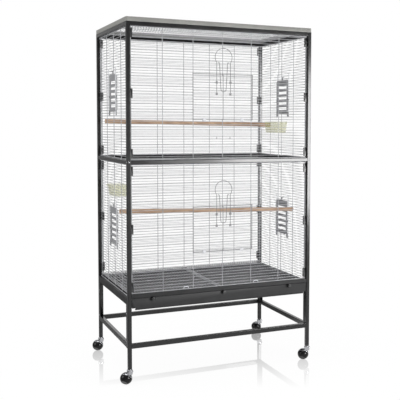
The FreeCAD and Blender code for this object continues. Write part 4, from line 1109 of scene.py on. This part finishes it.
@dataclass
class FrontDoor:
    """Drop-down door of one storey with its tongue, keepers and lifting latch."""

    shell: CageShell
    storey: Storey
    height: float = 192 * MM
    gap: float = 1 * MM
    bar: float = 3 * MM
    uprights: int = 3
    latch_wire: float = 2.5 * MM
    latch_sides: int = 12
    leg_x: float = 31 * MM
    bulb: float = 38 * MM
    bulb_steps: int = 36
    neck: float = 12 * MM
    neck_steps: int = 5
    keeper: Triple = (8 * MM, 4.9 * MM, 10 * MM)
    keeper_bevel: float = 0.6 * MM
    keeper_floor: float = 2.5 * MM
    keeper_rise: float = 48 * MM
    tongue_top_x: float = 18 * MM
    tongue_top: float = 236 * MM
    tongue_foot: float = 118 * MM
    tongue_foot_r: float = 12 * MM
    tongue_foot_steps: int = 14
    tongue_hook_r: float = 3.5 * MM
    tongue_hook_turn: float = 160.0
    tongue_hook_steps: int = 8

    @property
    def node(self) -> str:
        """CAD node of the door."""
        return "door_" + self.storey.value

    @property
    def latch_node(self) -> str:
        """CAD node of the latch."""
        return "latch_" + self.storey.value

    def point(self, along: float, depth: float, level: float) -> Vector:
        """Point on the front of the cage."""
        return self.shell.at(Side.FRONT, along, depth, level)

    def build(self, shop: Workshop) -> None:
        """Make the door's and the latch's pieces.

        Args:
            shop: Workshop that makes them.
        """
        low, high = node_box(self.node)
        width = high.x - low.x
        half = width / 2
        radius = self.bar / 2
        hinge = low.z + radius
        back = self.shell.panel_depth - self.shell.wire - self.gap
        plane = back - self.bar
        face = plane - self.shell.wire
        side_step = EAST * ((width - self.bar) / (self.uprights - 1))
        side_foot = self.point(-half + radius, back - radius, hinge)
        rim = [
            Row(self.point(-half, back - radius, hinge), EAST * width, radius),
            Row(side_foot, UP * self.height, radius, self.uprights, side_step),
            Row(self.point(-half, plane - radius, hinge + self.height - radius), EAST * width, radius),
        ]
        thin = self.shell.wire / 2
        pitch = self.shell.pitch
        count = int((self.height - self.bar - self.shell.wire) / pitch)
        first = self.point(-half, plane - thin, hinge + pitch)
        wires = shop.rows([Row(first, EAST * width, thin, count, UP * pitch)], Slot.WIRE)
        shop.finish_piece(wires, "wires_" + self.node, self.node + "_body", [self.node])
        # The tongue, keepers, rim and bail take the darker copy of the wire coat, with painted shade.
        tongue = shop.bent([self.tongue(hinge, face)], self.latch_wire / 2, 0.0, Coat.LATCH)
        keepers = self.keepers(face, shop.finishes[Coat.LATCH])
        dark = joined([shop.rows(rim, Coat.LATCH), tongue, *keepers])
        shop.finish_piece(dark, "rim_" + self.node, self.node + "_body")
        latch = shop.bent([self.latch_path(face)], self.latch_wire / 2, 0.0, Coat.LATCH, self.latch_sides)
        name = self.latch_node
        shop.finish_piece(latch, "bail_" + name, name + "_body", [name])

    def tongue(self, hinge: float, face: float) -> Path:
        """Points of the spring tongue, whose ends hook outwards.

        Args:
            hinge: Height of the hinge rod.
            face: Depth of the door's outer face.

        Returns:
            The points.
        """
        depth = face - self.latch_wire / 2
        rise = self.tongue_top - self.tongue_foot - self.tongue_foot_r
        lean = math.atan2(self.tongue_top_x - self.tongue_foot_r, rise)
        slant = math.degrees(lean)
        middle = self.point(0, depth, hinge + self.tongue_foot + self.tongue_foot_r)
        bow = arc(middle, self.tongue_foot_r, 180 + slant, 360 - slant, self.tongue_foot_steps)
        top = hinge + self.tongue_top
        top_x = bow[-1].x - middle.x + (top - bow[-1].z) * math.tan(lean)
        radius = self.tongue_hook_r
        steps = self.tongue_hook_steps
        hook_x = top_x + radius * math.cos(lean)
        hook_z = top - radius * math.sin(lean)
        far = slant + self.tongue_hook_turn
        left = arc(self.point(-hook_x, depth, hook_z), radius, far, slant, steps)
        right = arc(self.point(hook_x, depth, hook_z), radius, 180 - slant, 180 - far, steps)
        return [*left, *bow, *right]

    def keepers(self, face: float, material: bpy.types.Material) -> list[bpy.types.Mesh]:
        """Blocks that guide the latch's legs.

        Args:
            face: Depth of the door's outer face.
            material: Material of the blocks.

        Returns:
            Their meshes.
        """
        width, depth, height = self.keeper
        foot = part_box(self.latch_node)[0][2] - self.keeper_floor
        blocks = []
        for sign in (-1, 1):
            for level in (foot, foot + self.keeper_rise):
                near = self.point(sign * self.leg_x - width / 2, face - depth, level)
                far = self.point(sign * self.leg_x + width / 2, face, level + height)
                blocks.append(block(near, far, self.keeper_bevel, material))
        return blocks

    def latch_path(self, face: float) -> Path:
        """Points of the latch bail.

        Args:
            face: Depth of the door's outer face.

        Returns:
            The points.
        """
        depth = face - self.keeper[1] / 2
        low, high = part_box(self.latch_node)
        bulb_z = high[2] - self.latch_wire / 2 - self.bulb
        reach = self.neck + self.bulb
        neck_x = self.leg_x + self.neck
        neck_z = bulb_z - math.sqrt(reach**2 - neck_x**2)
        lean = math.degrees(math.atan2(bulb_z - neck_z, neck_x))
        left_neck = arc(self.point(-neck_x, depth, neck_z), self.neck, 0, lean, self.neck_steps)
        top = arc(self.point(0, depth, bulb_z), self.bulb, 180 + lean, -lean, self.bulb_steps)
        right_neck = arc(self.point(neck_x, depth, neck_z), self.neck, 180 - lean, 180, self.neck_steps)
        foot_left = self.point(-self.leg_x, depth, low[2])
        foot_right = self.point(self.leg_x, depth, low[2])
        return [foot_left, *left_neck, *top[1:-1], *right_neck, foot_right]


@dataclass
class SideFittings:
    """Guide wires of the lift doors and the hooks below the front doors."""

    shell: CageShell
    guide: float = 3 * MM
    guide_gap: float = 2 * MM
    guide_height: float = 204 * MM
    guide_bend: float = 3 * MM
    ear: float = 7 * MM
    sheet: float = 1.6 * MM
    play: float = 0.4 * MM
    hook_wire: float = 2.5 * MM
    hook_bend: float = 2.5 * MM
    hook_x: float = 30 * MM
    hook_reach: float = 7 * MM
    hook_tip: float = 8 * MM

    @property
    def seat(self) -> float:
        """Depth of the panels' outer face."""
        return self.shell.panel_depth - self.shell.wire

    def guides(self) -> list[Path]:
        """Paths of the guide wires, bent in to the panel at both ends."""
        depth = self.seat - self.play - self.sheet - self.play - self.guide / 2
        paths = []
        for side in (Side.LEFT, Side.RIGHT):
            for storey in Storey:
                low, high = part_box(f"lift_door_{side.value}_{storey.value}")
                along = (high[1] - low[1]) / 2 - self.ear + self.guide_gap + self.guide / 2
                bottom = low[2] - self.guide / 2
                top = bottom + self.guide_height
                places = [(self.seat, bottom), (depth, bottom), (depth, top), (self.seat, top)]
                for sign in (-1, 1):
                    paths.append([self.shell.at(side, sign * along, n, z) for n, z in places])
        return paths

    def hooks(self) -> list[Path]:
        """Paths of the hooks below the front doors."""
        low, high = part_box("door_hooks")
        rise = self.hook_tip + self.hook_wire / 2
        tip = self.seat - self.hook_reach + self.hook_wire / 2
        paths = []
        for level in (low[2] + self.hook_wire / 2, high[2] - rise):
            places = [(self.seat, level), (tip, level), (tip, level + rise)]
            for sign in (-1, 1):
                paths.append([self.shell.at(Side.FRONT, sign * self.hook_x, n, z) for n, z in places])
        return paths

    def build(self, shop: Workshop) -> None:
        """Make the pieces.

        Args:
            shop: Workshop that makes them.
        """
        # The guides take the lighter copy of the wire coat, with painted highlight.
        guides = shop.bent(self.guides(), self.guide / 2, self.guide_bend, Coat.PLATED)
        shop.finish_piece(guides, "lift_guides", "frame", ["lift_door_guides"])
        # The hooks take the darker copy of the wire coat, with painted shade.
        hooks = shop.bent(self.hooks(), self.hook_wire / 2, self.hook_bend, Coat.LATCH)
        shop.finish_piece(hooks, "hold_hooks", "frame", ["door_hooks"])


@dataclass
class Perch:
    """Natural branch across one storey."""

    storey: Storey
    seed: float
    knots: float = 0.22
    bend: float = 3 * MM

    def build(self, shop: Workshop) -> None:
        """Make the perch's piece.

        Args:
            shop: Workshop that makes it.
        """
        node = "perch_" + self.storey.value
        low, high = node_box(node)
        y = (low.y + high.y) / 2
        radius = (high.y - low.y) / 2
        left = Vector((low.x, y, high.z - radius))
        right = Vector((high.x, y, low.z + radius))
        values = {
            "Bend": self.bend,
            "Knots": self.knots,
            "Seed": self.seed,
            "Radius": radius,
            "Material": shop.finishes[Slot.WOOD],
        }
        mesh = shop.grow(path_mesh([[left, right]]), [(shop.trees.branch, values)])
        shop.finish_piece(mesh, "branch_" + self.storey.value, "frame", [node])


@dataclass
class Fasteners:
    """Bolt heads on the posts and the stand."""

    shell: CageShell
    tube: float = 16 * MM
    head: float = 3.6 * MM
    flat: float = 0.55
    mid_level: float = 908 * MM
    upright_levels: Span = (290 * MM, 172 * MM)

    def build(self, shop: Workshop) -> None:
        """Make one piece for each way that the heads face.

        Args:
            shop: Workshop that makes them.
        """
        shell = self.shell
        mid = self.tube / 2
        upright = shell.half_depth - self.tube - mid
        side_points = []
        for side in (Side.LEFT, Side.RIGHT):
            for sign in (-1, 1):
                side_points.append(shell.at(side, sign * (shell.half_depth - mid), 0, self.mid_level))
                side_points += [shell.at(side, sign * upright, 0, level) for level in self.upright_levels]
        face_points = []
        for side in (Side.FRONT, Side.REAR):
            for sign in (-1, 1):
                face_points.append(shell.at(side, sign * (shell.half_width - mid), 0, self.mid_level))
        sets = [
            ("side_bolts", side_points, Vector((self.flat, 1, 1))),
            ("front_bolts", face_points, Vector((1, self.flat, 1))),
        ]
        for name, points, dome in sets:
            mesh = shop.studs(points, self.head, dome, Slot.METAL)
            shop.finish_piece(mesh, name, "frame")


@dataclass(frozen=True)
class Lamp:
    """Soft rectangular lamp."""

    name: str
    place: Triple
    target: Triple
    size: Span
    power: float

    def hang(self) -> None:
        """Add the lamp to the scene."""
        data = bpy.data.lights.new(self.name, "AREA")
        data.shape = "RECTANGLE"
        data.size, data.size_y = self.size
        data.energy = self.power
        aim = (Vector(self.target) - Vector(self.place)).to_track_quat("-Z", "Y")
        placed(self.name, data).matrix_world = Matrix.Translation(self.place) @ aim.to_matrix().to_4x4()


@dataclass
class Studio:
    """Camera, white floor and soft lamps."""

    shell: CageShell
    eye: Triple = (-1.1965, -3.3002, 1.0625)
    yaw: float = -25.734
    pitch: float = -3.567
    roll: float = 0.318
    focal_px: float = 769.1
    center_px: Span = (280.0, 172.7)
    frame_px: float = 400.0
    sensor: float = 36.0
    fill_level: float = 0.45
    shade_level: float = 0.35
    backdrop_edge: Span = (0.78, 0.90)
    floor_size: float = 30.0
    floor_tone: tuple[float, float, float, float] = (0.9, 0.9, 0.9, 1)
    floor_white: float = 0.95
    floor_in_gloss: Span = (1.0, 0.25)
    flag_edge: Span = (-0.42, 0.32)
    flag_fade: float = 0.13
    mirror_span: Span = (-0.445, 0.305)
    mirror_share: float = 0.62
    mirror_reach: Span = (0.6, 1.1)
    mirror_rough: float = 0.03
    lamps: tuple[Lamp, ...] = (
        Lamp("top_lamp", (-0.4, -0.6, 5.0), (0, 0, 0.8), (4.0, 4.0), 130),
        Lamp("side_lamp", (2.1, -3.6, 0.9), (0.2, -0.27, 0.9), (1.4, 1.3), 120),
        Lamp("left_lamp", (-3.0, 0.0, 1.5), (-0.4, 0, 0.9), (2.0, 2.0), 42),
        Lamp("side_glow", (1.2, -3.9, 0.9), (0.0, -0.27, 0.9), (0.7, 1.3), 14),
    )

    @property
    def level_ahead(self) -> Vector:
        """Level direction that the camera looks in."""
        yaw = math.radians(self.yaw)
        return Vector((-math.sin(yaw), math.cos(yaw), 0))

    def camera(self) -> None:
        """Set the camera where the photograph was taken from."""
        pitch, roll = math.radians(self.pitch), math.radians(self.roll)
        level = self.level_ahead
        level_right = level.cross(UP)
        ahead = math.cos(pitch) * level + math.sin(pitch) * UP
        level_up = -math.sin(pitch) * level + math.cos(pitch) * UP
        right = math.cos(roll) * level_right + math.sin(roll) * level_up
        up = -math.sin(roll) * level_right + math.cos(roll) * level_up
        data = bpy.data.cameras.new("photo_camera")
        data.sensor_width = self.sensor
        data.lens = self.focal_px * self.sensor / self.frame_px
        data.shift_x = (self.frame_px / 2 - self.center_px[0]) / self.frame_px
        data.shift_y = (self.center_px[1] - self.frame_px / 2) / self.frame_px
        turn = Matrix((right, up, -ahead)).transposed().to_4x4()
        place = Vector(self.eye) + Vector((self.shell.middle_x, self.shell.middle_y, 0))
        camera = placed("photo_camera", data)
        camera.matrix_world = Matrix.Translation(place) @ turn
        bpy.context.scene.camera = camera

    @staticmethod
    def sight_rays(maker: NodeMaker) -> tuple[Socket, Socket]:
        """Find the rays that see the surroundings, and do not only gather their light.

        Args:
            maker: Maker of the tree.

        Returns:
            Socket that is 1 for camera rays, and one that is 1 for glossy and transmission rays.
        """
        rays = maker.add("ShaderNodeLightPath").outputs
        mirrored = maker.math("MAXIMUM", rays["Is Glossy Ray"], rays["Is Transmission Ray"])
        return rays["Is Camera Ray"], mirrored

    def ahead(self, maker: NodeMaker, place: Socket) -> Socket:
        """Distance of a point along the camera's level direction."""
        return maker.vector("DOT_PRODUCT", place, self.level_ahead).outputs["Value"]

    def world(self) -> None:
        """White surroundings, shaded beside the backdrop where gloss or glass sees them."""
        made = bpy.data.worlds.new("studio_white")
        bpy.context.scene.world = made
        made.use_nodes = True
        maker = NodeMaker(made.node_tree)
        ahead = self.ahead(maker, maker.place("Generated"))
        backdrop = maker.remap(ahead, self.backdrop_edge, (self.shade_level, 1.0))
        seen, mirrored = self.sight_rays(maker)
        unseen = maker.remap(mirrored, to=(self.fill_level, backdrop))
        strength = maker.remap(seen, to=(unseen, 1.0))
        maker.feed(made.node_tree.nodes["Background"], {"Color": WHITE, "Strength": strength})

    def gloss_level(self, maker: NodeMaker, place: Socket) -> Socket:
        """Level of the floor as gloss and glass see it, darker to the left of the cage and behind it.

        Args:
            maker: Maker of the floor's material.
            place: Socket with the point on the floor.

        Returns:
            Socket with the level.
        """
        across = maker.add("ShaderNodeSeparateXYZ", {"Vector": place}).outputs
        left = maker.math("SUBTRACT", self.flag_edge[0], across["X"])
        behind = maker.math("SUBTRACT", across["Y"], self.flag_edge[1])
        past = maker.math("MAXIMUM", left, behind)
        return maker.remap(past, (0.0, self.flag_fade), self.floor_in_gloss)

    def mirror(self, maker: NodeMaker, place: Socket, near: Socket) -> Socket:
        """Share of the mirror image, which fades towards the camera and away from the cage.

        Args:
            maker: Maker of the floor's material.
            place: Socket with the point on the floor.
            near: Socket that is 1 under the cage and 0 far from it.

        Returns:
            Socket with the share.
        """
        ahead = self.ahead(maker, place)
        share = maker.remap(ahead, self.mirror_span, (0.0, self.mirror_share))
        return maker.math("MULTIPLY", share, near)

    def floor(self) -> None:
        """White floor with a faint shadow and a mirror image."""
        work = bmesh.new()
        bmesh.ops.create_grid(work, x_segments=1, y_segments=1, size=self.floor_size)
        mesh = mesh_from(work, "studio_floor")
        made, maker, shader = start_material("White Studio Floor")
        nodes = made.node_tree.nodes
        nodes.remove(shader)
        place = maker.place()
        away = maker.vector("LENGTH", place).outputs["Value"]
        near = maker.remap(away, self.mirror_reach, (1.0, 0.0), interpolation_type="SMOOTHSTEP")
        seen, mirrored = self.sight_rays(maker)
        glow = maker.remap(seen, to=(self.gloss_level(maker, place), 1.0))
        white = maker.add("ShaderNodeEmission", {"Strength": glow}).outputs[0]
        matt = maker.add("ShaderNodeBsdfDiffuse", {"Color": self.floor_tone}).outputs[0]
        either = maker.math("MAXIMUM", seen, mirrored)
        whiteness = maker.math("MULTIPLY", either, maker.remap(near, to=(1.0, self.floor_white)))
        pale = maker.add("ShaderNodeMixShader", {"Fac": whiteness, 1: matt, 2: white}).outputs[0]
        polish = {"Color": WHITE, "Roughness": self.mirror_rough}
        gloss = maker.add("ShaderNodeBsdfGlossy", polish).outputs[0]
        shine = maker.math("MULTIPLY", self.mirror(maker, place, near), seen)
        mix = maker.add("ShaderNodeMixShader", {"Fac": shine, 1: pale, 2: gloss}).outputs[0]
        maker.feed(nodes["Material Output"], {"Surface": mix})
        mesh.materials.append(made)
        floor = placed("studio_floor", mesh)

    def build(self) -> None:
        """Set up the whole studio."""
        self.camera()
        self.world()
        self.floor()
        for lamp in self.lamps:
            lamp.hang()
        bpy.context.scene.view_settings.view_transform = "Standard"


@dataclass
class BirdCage:
    """The whole cage, built in order."""

    shop: Workshop
    shell: CageShell
    corners: tuple[str, ...] = ("front_left", "front_right", "rear_left", "rear_right")
    roof_bars: int = 3
    floor_bars: int = 7
    handle_x: float = 160 * MM
    perch_seeds: Span = (3.0, 8.0)

    def frame_tubes(self) -> None:
        """Dress the posts, rails and stand."""
        nodes = ["post_sleeves", "top_rails", "mid_rails", "stretchers"]
        nodes += ["side_frame_left", "side_frame_right", "tray_runners"]
        nodes += [f"{part}_{corner}" for part in ("lower_post", "upper_post") for corner in self.corners]
        for node in nodes:
            self.shop.smooth_copy(node, "frame", Slot.FRAME)
        for node in ("base_rails", "front_base_rail"):
            self.shop.smooth_copy(node, "frame", Slot.FRAME, Coat.SATIN)
        self.shop.smooth_copy("roof_frame", "frame", Slot.ROOF)
        for node in ("leg_plugs", "panel_clips"):
            self.shop.smooth_copy(node, "frame", Slot.BLACK)

    def castors(self) -> None:
        """Dress the castors."""
        self.shop.smooth_copy("castor_stems", "frame", Slot.METAL)
        for corner in self.corners:
            self.shop.smooth_copy("castor_hood_" + corner, f"castor_{corner}_body", Slot.METAL)
            self.shop.smooth_copy("castor_wheel_" + corner, f"wheel_{corner}_body", Slot.WHEEL)

    def tray(self) -> None:
        """Dress the tray, its front and its knobs."""
        self.shop.smooth_copy("tray", "tray_body", Slot.TRAY)
        self.shop.smooth_copy("tray_front", "tray_body", Slot.FRAME, Coat.SATIN)
        self.shop.smooth_copy("tray_knobs", "tray_body", Slot.BLACK)

    def wires(self) -> None:
        """Make every wire piece."""
        for side in Side:
            for storey in Storey:
                WirePanel(self.shell, side, storey).build(self.shop)
        FlatGrille(self.shell, "roof_grille", "frame", self.roof_bars).build(self.shop)
        for side, handle_x in (("left", -self.handle_x), ("right", self.handle_x)):
            node, body = f"floor_grille_{side}", f"grille_{side}_body"
            FlatGrille(self.shell, node, body, self.floor_bars, handle_x).build(self.shop)
        for storey in Storey:
            FrontDoor(self.shell, storey).build(self.shop)
        SideFittings(self.shell).build(self.shop)
        # The hinge sleeves take the lighter copy of the wire coat, with painted highlight.
        self.shop.smooth_copy("door_hinges", "frame", Slot.WIRE, Coat.PLATED)
        # The centre bar takes the near-white copy of the wire coat, with painted highlight.
        self.shop.smooth_copy("grille_centre_bar", "frame", Slot.WIRE, Coat.BRIGHT)

    def fittings(self) -> None:
        """Dress the lift doors, bowls and perches, and add the fasteners."""
        for side in (Side.LEFT, Side.RIGHT):
            for storey in Storey:
                name = f"{side.value}_{storey.value}"
                self.shop.smooth_copy("lift_door_" + name, f"lift_{name}_body", Slot.LIFT)
        for storey, seed in zip(Storey, self.perch_seeds):
            self.shop.smooth_copy("bowl_" + storey.value, "frame", Slot.BOWL)
            Perch(storey, seed).build(self.shop)
        Fasteners(self.shell).build(self.shop)

    def build(self) -> None:
        """Build the cage."""
        self.frame_tubes()
        self.castors()
        self.tray()
        self.wires()
        self.fittings()


def main() -> None:
    """Build the scene in order."""
    logging.basicConfig(level=logging.INFO, format="%(name)s %(message)s")
    shell = CageShell.from_frame()
    BirdCage(Workshop(), shell).build()
    Studio(shell).build()


if __name__ == "__main__":
    main()
